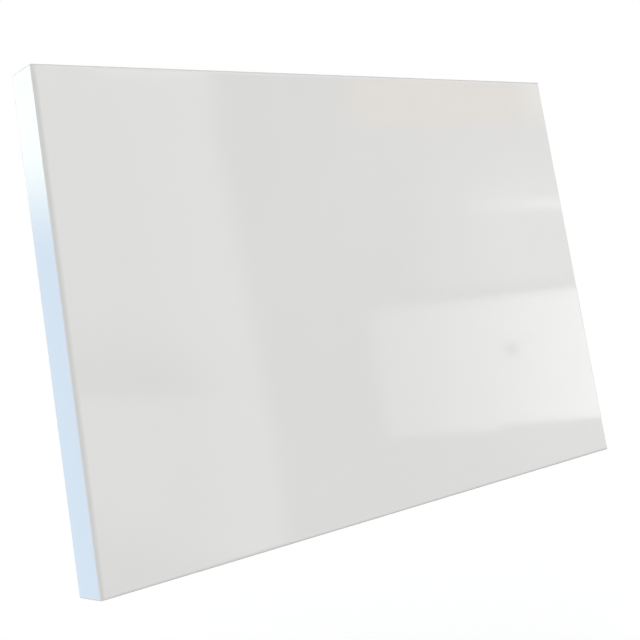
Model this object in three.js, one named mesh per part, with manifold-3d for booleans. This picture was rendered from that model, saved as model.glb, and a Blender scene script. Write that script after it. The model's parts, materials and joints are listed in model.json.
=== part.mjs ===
// A wall-hung infrared panel heater, in millimetres.
//
// The pieces are drawn in the wall's own axes: x to the right, y up and z out from the wall,
// as seen by someone who stands in front of the panel. The last lines turn the whole group
// so that +Z is up and the warm face looks along -Y.
//
// The origin is on the wall, at the middle of the upper wall rail's back face.
import * as THREE from "three";
import { mergeVertices } from "three/addons/utils/BufferGeometryUtils.js";
import Module from "manifold-3d";

const wasm = await Module();
wasm.setup();

// ---------------------------------------------------------------- driving dimensions

const seatGap = 0.3; // left between faces that touch on the real object
const boltClearance = 0.3; // between a shank and its hole, on the radius
const throughCut = 5; // how far a cutting solid runs past the sheet that it cuts

// Casing: one folded tray, open at the back
const panelWidth = 900;
const panelHeight = 600;
const casingDepth = 55;
const casingSheet = 1.2;
const casingBend = 3; // outside radius of the folds
const casingBendSteps = 4;
const returnFlange = 16; // width of the edge that is folded in at the back

// Back cover
const coverSheet = 1;
const coverInset = 4; // from the casing's outline to the cover's
const coverCorner = 4;
const coverColumns = 3;
const coverColumnPitch = 320;
const coverRows = 2;
const coverRowPitch = 400;

// Heating stack, from the front sheet back
const stackClearance = 2; // between the stack and the edge that is folded in
const micaSheet = 0.8;
const elementFoil = 0.5;
const reflectorSheet = 0.5;
const boardBackClearance = 1.8; // between the board and the cover, for rivet ends
const elementWidth = 14;
const elementPitch = 50; // from leg to leg
const elementTail = 35; // from the first leg to the ends of the ribbon
const elementBend = 8; // centreline radius of a turn
const elementMargin = 22; // from the stack's edge to the middle of the outer runs
const busSpacing = 32; // from the return run to the ends of the legs

// Distance of the cover from the wall, and the vertical pitch of the two rails
const wallGap = 24;
const railPitch = 300;

// Rails, uprights and their rivets
const railSheet = 2;
const railBend = 1; // inside radius of the folds
const railWidth = 600;
const webHeight = 34;
const wallHookReach = 13; // from the wall to the middle of the lip
const wallLipHeight = 13; // from the middle of the shelf to the lip's top edge
const wallHookLength = 170;
const hangerLipHeight = 11; // from the middle of the shelf to the lip's lower edge
const hookClearance = 1; // between the two lips, back to front
const screwSlotLength = 20;
const screwSlotWidth = 6.5;
const screwSlotSpacing = 460;
const uprightWidth = 30;
const uprightSpacing = 200;
const rivetRadius = 2;
const rivetHeadRadius = 3.8;
const rivetHeadHeight = 1.2;
const rivetCrown = 0.6; // share of a rivet head's radius that is flat on top
const rivetSetFlare = 0.8; // the set end's radius over the head's
const hangerRivetSpacing = 520;

// Sheet screws of the back cover
const screwCrown = 0.7; // share of any screw head's radius that is flat on top
const coverScrewRadius = 1.6;
const coverScrewHeadRadius = 3.6;
const coverScrewHeadHeight = 2;
const coverScrewLength = 9;

// Rubber bumpers that meet the wall
const bumperInset = 26; // from the casing's outline
const bumperFootRadius = 10;
const bumperTipRadius = 7;
const bumperBevel = 2;
const bumperNeckRadius = 3;
const bumperBarbRadius = 4.5;
const bumperBarbHeight = 1.1;

// Junction box
const boxWidth = 90;
const boxHeight = 60;
const boxDepth = 18;
const boxWall = 2;
const boxCorner = 5;
const boxInsetX = 90; // from the casing's side to the middle of the box
const boxInsetY = 85; // from the casing's bottom to the middle of the box
const boxBossRadius = 4;
const boxBossInset = 6.5;
const boxPilotRadius = 1.2;
const gasketHeight = 0.8;
const gasketWidth = 3;
const gasketInset = 1; // from the box's outline
const gasketInnerCorner = 7;
const lidHeight = 2;
const lidScrewRadius = 1.1;
const lidScrewHoleRadius = 1.5;
const lidScrewHeadRadius = 3;
const lidScrewHeadHeight = 1.2;
const lidScrewLength = 11;
const boxRivetX = 5; // both rivets of the box stand on this line
const boxRivetSpacing = 40;

// Terminal block
const blockX = -12;
const blockY = 6;
const blockWidth = 30;
const blockHeight = 16;
const blockDepth = 11;
const poles = 3;
const polePitch = 10;
const poleWellRadius = 2;
const poleWellDepth = 7;
const poleBoreRadius = 1.5;
const poleBoreHeight = 4; // of the wire's way in, above the block's foot

// Grommet that leads the wires through the box's floor and the cover
const grommetX = 26;
const grommetY = -2;
const grommetBore = 4.5;
const grommetNeckRadius = 6;
const grommetFlangeRadius = 8;
const grommetFlangeHeight = 1.2;

// Cable gland, size M12
const glandX = -18;
const glandHex = 15; // across the flats
const glandThreadRadius = 6;
const glandBodyBore = 4.3;
const glandCordRadius = 3.3; // the way for the cord
const glandHexHeight = 5;
const glandTailLength = 11;
const glandNutHeight = 8;
const glandNutWall = 0.8; // round the thread's end
const glandDomeHeight = 2.5; // past the thread's end
const glandMouthWall = 1; // round the cord's way out
const glandDomeRoot = 1; // of the dome, inside the hexagon
const glandThreadSpare = 1; // past the locknut
const locknutHeight = 3.5;

// Space in the board for the thermal limiter and the wires' ends
const pocketWidth = 100;
const pocketHeight = 100;
const pocketInsetX = 78; // from the casing's side to the middle of the pocket
const pocketInsetY = 80; // from the casing's bottom

// Windows for the element's tabs
const tabWindowWidth = 22;
const tabWindowMargin = 16; // above the upper tab and below the lower one

// Element tabs
const tabWidth = 6.3;
const tabSheet = 0.8;
const tabFoot = 10;
const tabBlade = 14;

// Thermal limiter and its bracket
const limiterX = -8; // from the middle of the box
const limiterY = 13;
const limiterRadius = 8;
const limiterFlangeRadius = 10;
const limiterFlangeHeight = 0.8;
const limiterCanHeight = 5;
const limiterBodyHeight = 8;
const limiterBladeHeight = 7;
const limiterBladeSpacing = 8;
const limiterBladeRoot = 1; // of a blade, inside the body
const bracketSheet = 1;
const bracketWidth = 26;
const bracketFoot = 10;
const bracketReach = 16; // from the riser to the middle of the limiter

// Earth stud
const studX = 52; // from the middle of the box
const studY = 18;
const studRadius = 2;
const studFootRadius = 4;
const studFootHeight = 1;
const studLength = 13;
const studNutHex = 7;
const studNutHeight = 3.2;
const lugRadius = 4;
const lugSheet = 0.8;
const lugOut = 7; // of the ring lug's back face from the cover

// Wires
const wireRadius = 1.1;
const wireSides = 8;
const wireLane = 2.6; // between wires that run side by side
const wireRow = 3.1; // between the rows in which they turn towards the grommet
const wireStub = 1.5; // straight out of a terminal
const wireTurn = 3;

const roundSegments = 16;
const smallSegments = 12;

// ---------------------------------------------------------------- places that follow

const coverBack = wallGap;
const coverFront = coverBack + coverSheet;
const casingBack = coverFront + seatGap;
const casingFront = casingBack + casingDepth;
const micaFrontOut = casingFront - casingSheet - seatGap - micaSheet;
const elementOut = micaFrontOut - seatGap - elementFoil;
const micaBackOut = elementOut - seatGap - micaSheet;
const reflectorOut = micaBackOut - seatGap - reflectorSheet;
const boardOut = coverFront + boardBackClearance;
const boardDepth = reflectorOut - seatGap - boardOut;

const panelMiddle = -railPitch / 2; // height of the panel's middle over the upper rail
const panelBottom = panelMiddle - panelHeight / 2;
const panelSide = panelWidth / 2;

const railHeights = { upper: 0, lower: -railPitch };
const sides = { left: -1, right: 1 };

const shelfMiddle = webHeight / 2 - railSheet / 2;
const wallLipTop = shelfMiddle + wallLipHeight;
const hangerShelf = wallLipTop + seatGap + railSheet / 2;
const hangerWebOut = coverBack - seatGap - railSheet / 2;
const hangerLipOut = wallHookReach - railSheet - hookClearance;
const hangerRivetHeight = hangerShelf + webHeight / 2;

const boxX = panelSide - boxInsetX;
const boxY = panelBottom + boxInsetY;
const boxBack = coverBack - seatGap; // the box's floor lies here, its mouth is nearer the wall

const stackWidth = panelWidth - 2 * (returnFlange + stackClearance);
const stackHeight = panelHeight - 2 * (returnFlange + stackClearance);
const stackBottom = panelMiddle - stackHeight / 2;
const elementRight = stackWidth / 2 - elementMargin; // where both ends of the element stop
const legX = elementRight - elementTail; // the first leg, on the right
const legSpan = legX + elementRight;
const elementLegs = 2 * Math.floor((legSpan / elementPitch + 1) / 2); // the last one runs down
const busY = stackBottom + elementMargin;
const legBottom = busY + busSpacing;
const legTop = panelMiddle + stackHeight / 2 - elementMargin;

// ---------------------------------------------------------------- materials

const paint = (color, roughness, metalness) =>
  new THREE.MeshStandardMaterial({ color, roughness, metalness });

const whiteEnamel = paint(0xdededa, 0.12, 0);
const zincSheet = paint(0xb4b9bb, 0.45, 0.9);
const whitePowder = paint(0xd8d8d4, 0.55, 0);
const platedSteel = paint(0xc8c8c4, 0.3, 1);
const micaPaper = paint(0xb49a6a, 0.6, 0);
const heatingAlloy = paint(0x8d8a84, 0.4, 1);
const aluminiumFoil = paint(0xd6d8da, 0.25, 1);
const mineralWool = paint(0xb9a873, 1, 0);
const greyPlastic = paint(0x4a4d50, 0.5, 0);
const whitePlastic = paint(0xe6e4dc, 0.4, 0);
const blackRubber = paint(0x1c1c1d, 0.8, 0);
const brassMetal = paint(0xb8935a, 0.35, 1);
const brownWire = paint(0x5b3a22, 0.5, 0);
const blueWire = paint(0x2a5fa8, 0.5, 0);
const greenWire = paint(0x6f9a2c, 0.5, 0);
const whiteWire = paint(0xe4e0d4, 0.5, 0);

// ---------------------------------------------------------------- shapes and solids

const at = (x, y) => new THREE.Vector2(x, y);
const point = (x, y, z) => new THREE.Vector3(x, y, z);

function rectangle(width, height, corner = 0, x = 0, y = 0) {
  const halfWidth = width / 2;
  const halfHeight = height / 2;
  if (corner === 0) {
    return new THREE.Shape([
      at(x - halfWidth, y - halfHeight),
      at(x + halfWidth, y - halfHeight),
      at(x + halfWidth, y + halfHeight),
      at(x - halfWidth, y + halfHeight),
    ]);
  }
  const right = x + halfWidth - corner;
  const left = x - halfWidth + corner;
  const top = y + halfHeight - corner;
  const bottom = y - halfHeight + corner;
  const shape = new THREE.Shape();
  shape.absarc(right, top, corner, 0, Math.PI / 2);
  shape.absarc(left, top, corner, Math.PI / 2, Math.PI);
  shape.absarc(left, bottom, corner, Math.PI, 1.5 * Math.PI);
  shape.absarc(right, bottom, corner, 1.5 * Math.PI, 2 * Math.PI);
  return shape;
}

function disc(x, y, radius) {
  return new THREE.Path().absarc(x, y, radius, 0, 2 * Math.PI);
}

// A hole with round ends that lies along x.
function slot(x, y, length, width) {
  const radius = width / 2;
  const reach = length / 2 - radius;
  const path = new THREE.Path();
  path.absarc(x + reach, y, radius, -Math.PI / 2, Math.PI / 2);
  path.absarc(x - reach, y, radius, Math.PI / 2, 1.5 * Math.PI);
  return path;
}

// A flat piece drawn in x and y, with its back face at z = 0.
function plate(shape, thickness, holes = [], curveSegments = 6) {
  shape.holes.push(...holes);
  return new THREE.ExtrudeGeometry(shape, { depth: thickness, bevelEnabled: false, curveSegments });
}

// The outline of a strip of one thickness that follows a bent line. Each corner is rounded to a
// centreline radius, with the given number of flats.
function strip(corners, thickness, radius, steps = 2) {
  const middle = [];
  corners.forEach((corner, i) => {
    if (i === 0 || i === corners.length - 1) {
      const next = i === 0 ? corners[1] : corners[i - 1];
      const along = next.clone().sub(corner).normalize();
      const heading = i === 0 ? along : along.negate();
      middle.push({ place: corner, normal: at(-heading.y, heading.x) });
      return;
    }
    const arriving = corner.clone().sub(corners[i - 1]).normalize();
    const leaving = corners[i + 1].clone().sub(corner).normalize();
    const turn = Math.atan2(arriving.cross(leaving), arriving.dot(leaving));
    const setback = radius * Math.tan(Math.abs(turn) / 2);
    const start = corner.clone().addScaledVector(arriving, -setback);
    const inward = at(-arriving.y, arriving.x).multiplyScalar(Math.sign(turn));
    const centre = start.clone().addScaledVector(inward, radius);
    for (let step = 0; step <= steps; step++) {
      const angle = (turn * step) / steps;
      const spoke = start.clone().sub(centre).rotateAround(at(0, 0), angle);
      const place = centre.clone().add(spoke);
      const normal = spoke.normalize().multiplyScalar(-Math.sign(turn));
      middle.push({ place, normal });
    }
  });
  const edge = (side) =>
    middle.map(({ place, normal }) => place.clone().addScaledVector(normal, (side * thickness) / 2));
  return new THREE.Shape([...edge(-1), ...edge(1).reverse()]);
}

// A folded sheet whose profile is drawn as (out from the wall, up), centred along x.
function foldedAlongX(profile, length) {
  const geometry = new THREE.ExtrudeGeometry(profile, { depth: length, bevelEnabled: false });
  return geometry.translate(0, 0, -length / 2).rotateY(-Math.PI / 2);
}

// A turned piece. Its profile is a list of [radius, height] from the foot up, and it stands
// along y, or along z when it is laid out from the wall.
function turned(profile, segments = roundSegments) {
  return new THREE.LatheGeometry(profile.map(([radius, height]) => at(radius, height)), segments);
}

function turnedOut(profile, segments = roundSegments) {
  return turned(profile, segments).rotateX(Math.PI / 2);
}

// A hexagon along y, with one pair of flats facing along z.
function hexagon(acrossFlats, height) {
  const radius = acrossFlats / 2 / Math.cos(Math.PI / 6);
  return new THREE.CylinderGeometry(radius, radius, height, 6).rotateY(Math.PI / 6);
}

function block(width, height, depth, x = 0, y = 0, z = 0) {
  return new THREE.BoxGeometry(width, height, depth).translate(x, y, z);
}

function rod(radius, length, segments = smallSegments) {
  return new THREE.CylinderGeometry(radius, radius, length, segments);
}

function rodOut(radius, length, x, y, z) {
  return rod(radius, length).rotateX(Math.PI / 2).translate(x, y, z);
}

function wireAlong(places) {
  const section = new THREE.Shape().absarc(0, 0, wireRadius, 0, 2 * Math.PI);
  const route = new THREE.CatmullRomCurve3(places, false, "centripetal");
  const steps = Math.round(route.getLength() / (2 * 2 * wireRadius));
  return new THREE.ExtrudeGeometry(section, {
    steps,
    extrudePath: route,
    curveSegments: wireSides / 2,
  });
}

function solidOf(geometry) {
  const bare = geometry.clone();
  bare.deleteAttribute("normal");
  bare.deleteAttribute("uv");
  const merged = mergeVertices(bare, 1e-4);
  return new wasm.Manifold(
    new wasm.Mesh({
      numProp: 3,
      vertProperties: merged.attributes.position.array,
      triVerts: new Uint32Array(merged.index.array),
    }),
  );
}

function geometryOf(solid) {
  const mesh = solid.getMesh();
  const geometry = new THREE.BufferGeometry();
  geometry.setAttribute("position", new THREE.BufferAttribute(mesh.vertProperties, 3));
  geometry.setIndex(new THREE.BufferAttribute(mesh.triVerts, 1));
  const faceted = geometry.toNonIndexed();
  faceted.computeVertexNormals();
  return faceted;
}

function cut(geometry, ...tools) {
  return geometryOf(tools.reduce((left, tool) => left.subtract(solidOf(tool)), solidOf(geometry)));
}

function join(geometry, ...others) {
  return geometryOf(others.reduce((sum, other) => sum.add(solidOf(other)), solidOf(geometry)));
}

function piece(parent, name, geometry, material, x = 0, y = 0, z = 0) {
  const mesh = new THREE.Mesh(geometry, material);
  mesh.name = name;
  mesh.position.set(x, y, z);
  parent.add(mesh);
  return mesh;
}

// Evenly spaced places around zero.
function spaced(count, pitch) {
  return Array.from({ length: count }, (_, i) => (i - (count - 1) / 2) * pitch);
}

// ---------------------------------------------------------------- where the holes are

const flangeLine = returnFlange / 2 + casingBend / 4; // of the screws, from the casing's outline
const screwX = panelSide - flangeLine;
const screwY = panelHeight / 2 - flangeLine;

function coverScrewPlaces() {
  const columns = spaced(coverColumns, coverColumnPitch);
  const rows = spaced(coverRows, coverRowPitch);
  return [
    ...columns.map((x) => ({ x, y: screwY })),
    ...rows.map((y) => ({ x: screwX, y })).reverse(),
    ...columns.map((x) => ({ x, y: -screwY })).reverse(),
    ...rows.map((y) => ({ x: -screwX, y })),
  ].map(({ x, y }) => ({ x, y: y + panelMiddle }));
}

function hangerRivetPlaces() {
  return Object.entries(railHeights).flatMap(([row, height]) =>
    Object.entries(sides).map(([side, sign]) => ({
      name: `${row}_${side}`,
      x: (sign * hangerRivetSpacing) / 2,
      y: height + hangerRivetHeight,
    })),
  );
}

function bumperPlaces() {
  return Object.entries(sides).map(([side, sign]) => ({
    side,
    x: sign * (panelSide - bumperInset),
    y: panelBottom + bumperInset,
  }));
}

const boxRivetPlaces = { upper: boxRivetSpacing / 2, lower: -boxRivetSpacing / 2 };

const boxBossX = boxWidth / 2 - boxBossInset;
const boxBossY = boxHeight / 2 - boxBossInset;

const pocketX = panelSide - pocketInsetX;
const pocketY = panelBottom + pocketInsetY;

// ---------------------------------------------------------------- casing and back cover

// A box with its front and back edges rounded and its back face at z = 0.
function roundedTray(width, height, depth, radius) {
  const shape = rectangle(width - 2 * radius, height - 2 * radius);
  const geometry = new THREE.ExtrudeGeometry(shape, {
    depth: depth - 2 * radius,
    bevelThickness: radius,
    bevelSize: radius,
    bevelSegments: casingBendSteps,
  });
  return geometry.translate(0, 0, radius);
}

function makeCasing(panel) {
  const outside = roundedTray(panelWidth, panelHeight, casingDepth, casingBend);
  const inside = roundedTray(
    panelWidth - 2 * casingSheet,
    panelHeight - 2 * casingSheet,
    casingDepth - 2 * casingSheet,
    casingBend - casingSheet,
  ).translate(0, 0, casingSheet);
  const mouth = block(
    panelWidth - 2 * returnFlange,
    panelHeight - 2 * returnFlange,
    casingSheet + throughCut,
  );
  const pilots = coverScrewPlaces().map(({ x, y }) =>
    rodOut(coverScrewRadius + boltClearance, casingSheet + throughCut, x, y - panelMiddle, 0),
  );
  const tray = cut(outside, inside, mouth, ...pilots);
  piece(panel, "casing", tray, whiteEnamel, 0, panelMiddle, casingBack);
}

function makeBackCover(panel) {
  const outline = rectangle(
    panelWidth - 2 * coverInset,
    panelHeight - 2 * coverInset,
    coverCorner,
    0,
    panelMiddle,
  );
  const holes = [
    ...coverScrewPlaces().map(({ x, y }) => disc(x, y, coverScrewRadius + boltClearance)),
    ...hangerRivetPlaces().map(({ x, y }) => disc(x, y, rivetRadius + boltClearance)),
    ...bumperPlaces().map(({ x, y }) => disc(x, y, bumperNeckRadius + boltClearance)),
    ...Object.values(boxRivetPlaces).map((y) =>
      disc(boxX + boxRivetX, boxY + y, rivetRadius + boltClearance),
    ),
    disc(boxX + grommetX, boxY + grommetY, grommetNeckRadius + boltClearance),
  ];
  piece(panel, "back_cover", plate(outline, coverSheet, holes), zincSheet, 0, 0, coverBack);

  const screw = [
    [0, coverBack - seatGap - coverScrewHeadHeight],
    [coverScrewHeadRadius * screwCrown, coverBack - seatGap - coverScrewHeadHeight],
    [coverScrewHeadRadius, coverBack - seatGap - coverScrewHeadHeight / 2],
    [coverScrewHeadRadius, coverBack - seatGap],
    [coverScrewRadius, coverBack - seatGap],
    [coverScrewRadius, coverBack + coverScrewLength - coverScrewRadius],
    [0, coverBack + coverScrewLength],
  ];
  coverScrewPlaces().forEach(({ x, y }, i) => {
    piece(panel, `cover_screw_${i + 1}`, turnedOut(screw, smallSegments), platedSteel, x, y);
  });
}

// ---------------------------------------------------------------- heating stack

// The element is one ribbon: it climbs and falls in legs from right to left, and its last
// leg runs down to a return run along the bottom, so both ends are at the lower right.
function elementLine() {
  const corners = [at(elementRight, legBottom)];
  for (let leg = 0; leg < elementLegs; leg++) {
    const x = legX - leg * elementPitch;
    const climbs = leg % 2 === 0;
    const foot = leg === elementLegs - 1 ? busY : legBottom;
    corners.push(at(x, climbs ? legBottom : legTop), at(x, climbs ? legTop : foot));
  }
  corners.push(at(elementRight, busY));
  return corners;
}

const tabX = elementRight - tabWidth; // both tabs sit on the last stretch of the ribbon
const tabPlaces = { line: legBottom, neutral: busY };

function tabWindow() {
  const height = busSpacing + 2 * tabWindowMargin;
  return rectangle(tabWindowWidth, height, 0, tabX, busY + busSpacing / 2);
}

function stackSheet(holes = []) {
  return { shape: rectangle(stackWidth, stackHeight, 0, 0, panelMiddle), holes };
}

function makeHeatingStack(panel) {
  const front = stackSheet();
  piece(panel, "mica_front", plate(front.shape, micaSheet), micaPaper, 0, 0, micaFrontOut);

  const ribbon = strip(elementLine(), elementWidth, elementBend, 1);
  piece(panel, "heating_element", plate(ribbon, elementFoil), heatingAlloy, 0, 0, elementOut);

  const back = stackSheet([tabWindow()]);
  piece(panel, "mica_back", plate(back.shape, micaSheet, back.holes), micaPaper, 0, 0, micaBackOut);

  const foil = stackSheet([tabWindow()]);
  const foilPlate = plate(foil.shape, reflectorSheet, foil.holes);
  piece(panel, "reflector_foil", foilPlate, aluminiumFoil, 0, 0, reflectorOut);

  const board = stackSheet([rectangle(pocketWidth, pocketHeight, 0, pocketX, pocketY)]);
  const boardPlate = plate(board.shape, boardDepth, board.holes);
  piece(panel, "insulation_board", boardPlate, mineralWool, 0, 0, boardOut);
}

// A tab is an angle: its foot lies on the back of the ribbon, and its blade stands back from it.
function makeElementTabs(panel) {
  const footOut = elementOut - seatGap - tabSheet / 2;
  for (const [name, height] of Object.entries(tabPlaces)) {
    const profile = strip(
      [
        at(footOut, height + tabFoot / 2),
        at(footOut, height - tabFoot / 2),
        at(footOut - tabBlade, height - tabFoot / 2),
      ],
      tabSheet,
      tabSheet,
    );
    piece(panel, `element_tab_${name}`, foldedAlongX(profile, tabWidth), brassMetal, tabX);
  }
}

// ---------------------------------------------------------------- thermal limiter

const limiterOut = reflectorOut - seatGap - limiterCanHeight; // back of the sensing can
const bracketOut = limiterOut - limiterFlangeHeight - seatGap - bracketSheet / 2;
const limiterPlace = at(boxX + limiterX, boxY + limiterY);

function makeLimiter(panel) {
  const bodyBack = bracketOut - bracketSheet / 2 - limiterBodyHeight;
  const body = turnedOut([
    [0, bodyBack],
    [limiterRadius, bodyBack],
    [limiterRadius, limiterOut - limiterFlangeHeight],
    [limiterFlangeRadius, limiterOut - limiterFlangeHeight],
    [limiterFlangeRadius, limiterOut],
    [limiterRadius, limiterOut],
    [limiterRadius, limiterOut + limiterCanHeight],
    [0, limiterOut + limiterCanHeight],
  ]);
  const blades = spaced(2, limiterBladeSpacing).map((x) =>
    block(
      tabSheet,
      tabWidth,
      limiterBladeHeight + limiterBladeRoot,
      x,
      0,
      bodyBack + (limiterBladeRoot - limiterBladeHeight) / 2,
    ),
  );
  const limiter = join(body, ...blades);
  piece(panel, "thermal_limiter", limiter, whitePlastic, limiterPlace.x, limiterPlace.y);

  const footOut = coverFront + seatGap + bracketSheet / 2;
  const profile = strip(
    [
      at(-bracketReach - bracketFoot, footOut),
      at(-bracketReach, footOut),
      at(-bracketReach, bracketOut),
      at(bracketReach - bracketSheet, bracketOut),
    ],
    bracketSheet,
    bracketSheet,
  );
  const folded = new THREE.ExtrudeGeometry(profile, { depth: bracketWidth, bevelEnabled: false })
    .translate(0, 0, -bracketWidth / 2)
    .rotateX(Math.PI / 2);
  const hole = rodOut(limiterRadius + boltClearance, throughCut, 0, 0, bracketOut);
  const bracket = cut(folded, hole);
  piece(panel, "limiter_bracket", bracket, zincSheet, limiterPlace.x, limiterPlace.y);
}

// ---------------------------------------------------------------- earth stud

const studPlace = at(boxX + studX, boxY + studY);
const lugPlane = coverFront + lugOut;

function makeEarthStud(panel) {
  const foot = coverFront + seatGap;
  const stud = turnedOut(
    [
      [0, foot],
      [studFootRadius, foot],
      [studFootRadius, foot + studFootHeight],
      [studRadius, foot + studFootHeight],
      [studRadius, foot + studLength],
      [0, foot + studLength],
    ],
    smallSegments,
  );
  piece(panel, "earth_stud", stud, brassMetal, studPlace.x, studPlace.y);

  const bore = rod(studRadius + boltClearance, studNutHeight + throughCut);
  const nut = cut(hexagon(studNutHex, studNutHeight), bore).rotateX(Math.PI / 2);
  const nutOut = lugPlane + lugSheet + seatGap + studNutHeight / 2;
  piece(panel, "earth_nut", nut, brassMetal, studPlace.x, studPlace.y, nutOut);
}

// ---------------------------------------------------------------- junction box
// The box is drawn in the wall's axes round its own middle, and its mouth looks at the wall.

const gasketOut = boxBack - boxDepth - seatGap - gasketHeight;
const lidOut = gasketOut - seatGap - lidHeight;
const floorOut = boxBack - boxWall; // the inside of the box's floor
const glandOut = boxBack - boxWall - (boxDepth - boxWall) / 2;

function makeBoxShell(box) {
  const shell = plate(rectangle(boxWidth, boxHeight, boxCorner), boxDepth);
  const hollow = plate(
    rectangle(boxWidth - 2 * boxWall, boxHeight - 2 * boxWall, boxCorner - boxWall),
    boxDepth,
  ).translate(0, 0, -boxWall);
  const corners = [-1, 1].flatMap((u) => [-1, 1].map((v) => at(u * boxBossX, v * boxBossY)));
  const bosses = corners.map(({ x, y }) => rodOut(boxBossRadius, boxDepth, x, y, boxDepth / 2));
  const pilots = corners.map(({ x, y }) =>
    rodOut(boxPilotRadius, lidScrewLength + throughCut, x, y, 0),
  );
  const glandHole = rod(glandThreadRadius + boltClearance, boxWall + 2 * throughCut).translate(
    glandX,
    -boxHeight / 2,
    glandOut - (boxBack - boxDepth),
  );
  const grommetHole = rodOut(
    grommetNeckRadius + boltClearance,
    2 * throughCut,
    grommetX,
    grommetY,
    boxDepth,
  );
  const rivetHoles = Object.values(boxRivetPlaces).map((y) =>
    rodOut(rivetRadius + boltClearance, 2 * throughCut, boxRivetX, y, boxDepth),
  );
  const open = cut(shell, hollow);
  const withBosses = join(open, ...bosses);
  const base = cut(withBosses, ...pilots, glandHole, grommetHole, ...rivetHoles);
  piece(box, "box_base", base, greyPlastic, 0, 0, boxBack - boxDepth);

  const sealWidth = boxWidth - 2 * gasketInset;
  const sealHeight = boxHeight - 2 * gasketInset;
  const seal = rectangle(sealWidth, sealHeight, boxCorner - gasketInset);
  const inner = rectangle(
    sealWidth - 2 * gasketWidth,
    sealHeight - 2 * gasketWidth,
    gasketInnerCorner,
  );
  const sealHoles = corners.map(({ x, y }) => rodOut(lidScrewHoleRadius, throughCut, x, y, 0));
  const sealEars = corners.map(({ x, y }) =>
    rodOut(boxBossRadius, gasketHeight, x, y, gasketHeight / 2),
  );
  const ring = join(plate(seal, gasketHeight, [inner]), ...sealEars);
  piece(box, "box_gasket", cut(ring, ...sealHoles), blackRubber, 0, 0, gasketOut);

  const lidHoles = corners.map(({ x, y }) => disc(x, y, lidScrewHoleRadius));
  const lid = plate(rectangle(boxWidth, boxHeight, boxCorner), lidHeight, lidHoles);
  piece(box, "box_lid", lid, greyPlastic, 0, 0, lidOut);

  const headOut = lidOut - seatGap;
  const screw = turnedOut(
    [
      [0, headOut - lidScrewHeadHeight],
      [lidScrewHeadRadius * screwCrown, headOut - lidScrewHeadHeight],
      [lidScrewHeadRadius, headOut - lidScrewHeadHeight / 2],
      [lidScrewHeadRadius, headOut],
      [lidScrewRadius, headOut],
      [lidScrewRadius, headOut + lidScrewLength],
      [0, headOut + lidScrewLength],
    ],
    smallSegments,
  );
  corners.forEach(({ x, y }, i) => {
    piece(box, `lid_screw_${i + 1}`, screw.clone(), platedSteel, x, y);
  });
}

// A blind rivet along z. Its set end is flat and lies against the inside of the last sheet.
function blindRivet(headOut, setOut) {
  return turnedOut(
    [
      [0, headOut - rivetHeadHeight],
      [rivetHeadRadius * rivetCrown, headOut - rivetHeadHeight],
      [rivetHeadRadius, headOut],
      [rivetRadius, headOut],
      [rivetRadius, setOut],
      [rivetHeadRadius * rivetSetFlare, setOut],
      [rivetHeadRadius * rivetSetFlare, setOut + rivetHeadHeight],
      [0, setOut + rivetHeadHeight],
    ],
    smallSegments,
  );
}

function makeBoxFittings(box) {
  for (const [name, y] of Object.entries(boxRivetPlaces)) {
    const rivet = blindRivet(floorOut - seatGap, coverFront + seatGap);
    piece(box, `box_rivet_${name}`, rivet, platedSteel, boxRivetX, y);
  }

  const inside = floorOut - seatGap;
  const outside = coverFront + seatGap;
  const grommet = turnedOut([
    [grommetBore, inside - grommetFlangeHeight],
    [grommetFlangeRadius, inside - grommetFlangeHeight],
    [grommetFlangeRadius, inside],
    [grommetNeckRadius, inside],
    [grommetNeckRadius, outside],
    [grommetFlangeRadius, outside],
    [grommetFlangeRadius, outside + grommetFlangeHeight],
    [grommetBore, outside + grommetFlangeHeight],
    [grommetBore, inside - grommetFlangeHeight],
  ]);
  piece(box, "wire_grommet", grommet, blackRubber, grommetX, grommetY);

  const foot = floorOut - seatGap;
  const body = block(blockWidth, blockHeight, blockDepth, 0, 0, foot - blockDepth / 2);
  const wells = spaced(poles, polePitch).map((x) =>
    rodOut(poleWellRadius, 2 * poleWellDepth, x, 0, foot - blockDepth),
  );
  const bores = spaced(poles, polePitch).map((x) =>
    rod(poleBoreRadius, blockHeight + throughCut).translate(x, 0, foot - poleBoreHeight),
  );
  const terminal = cut(body, ...wells, ...bores);
  piece(box, "terminal_block", terminal, whitePlastic, blockX, blockY);
}

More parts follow.
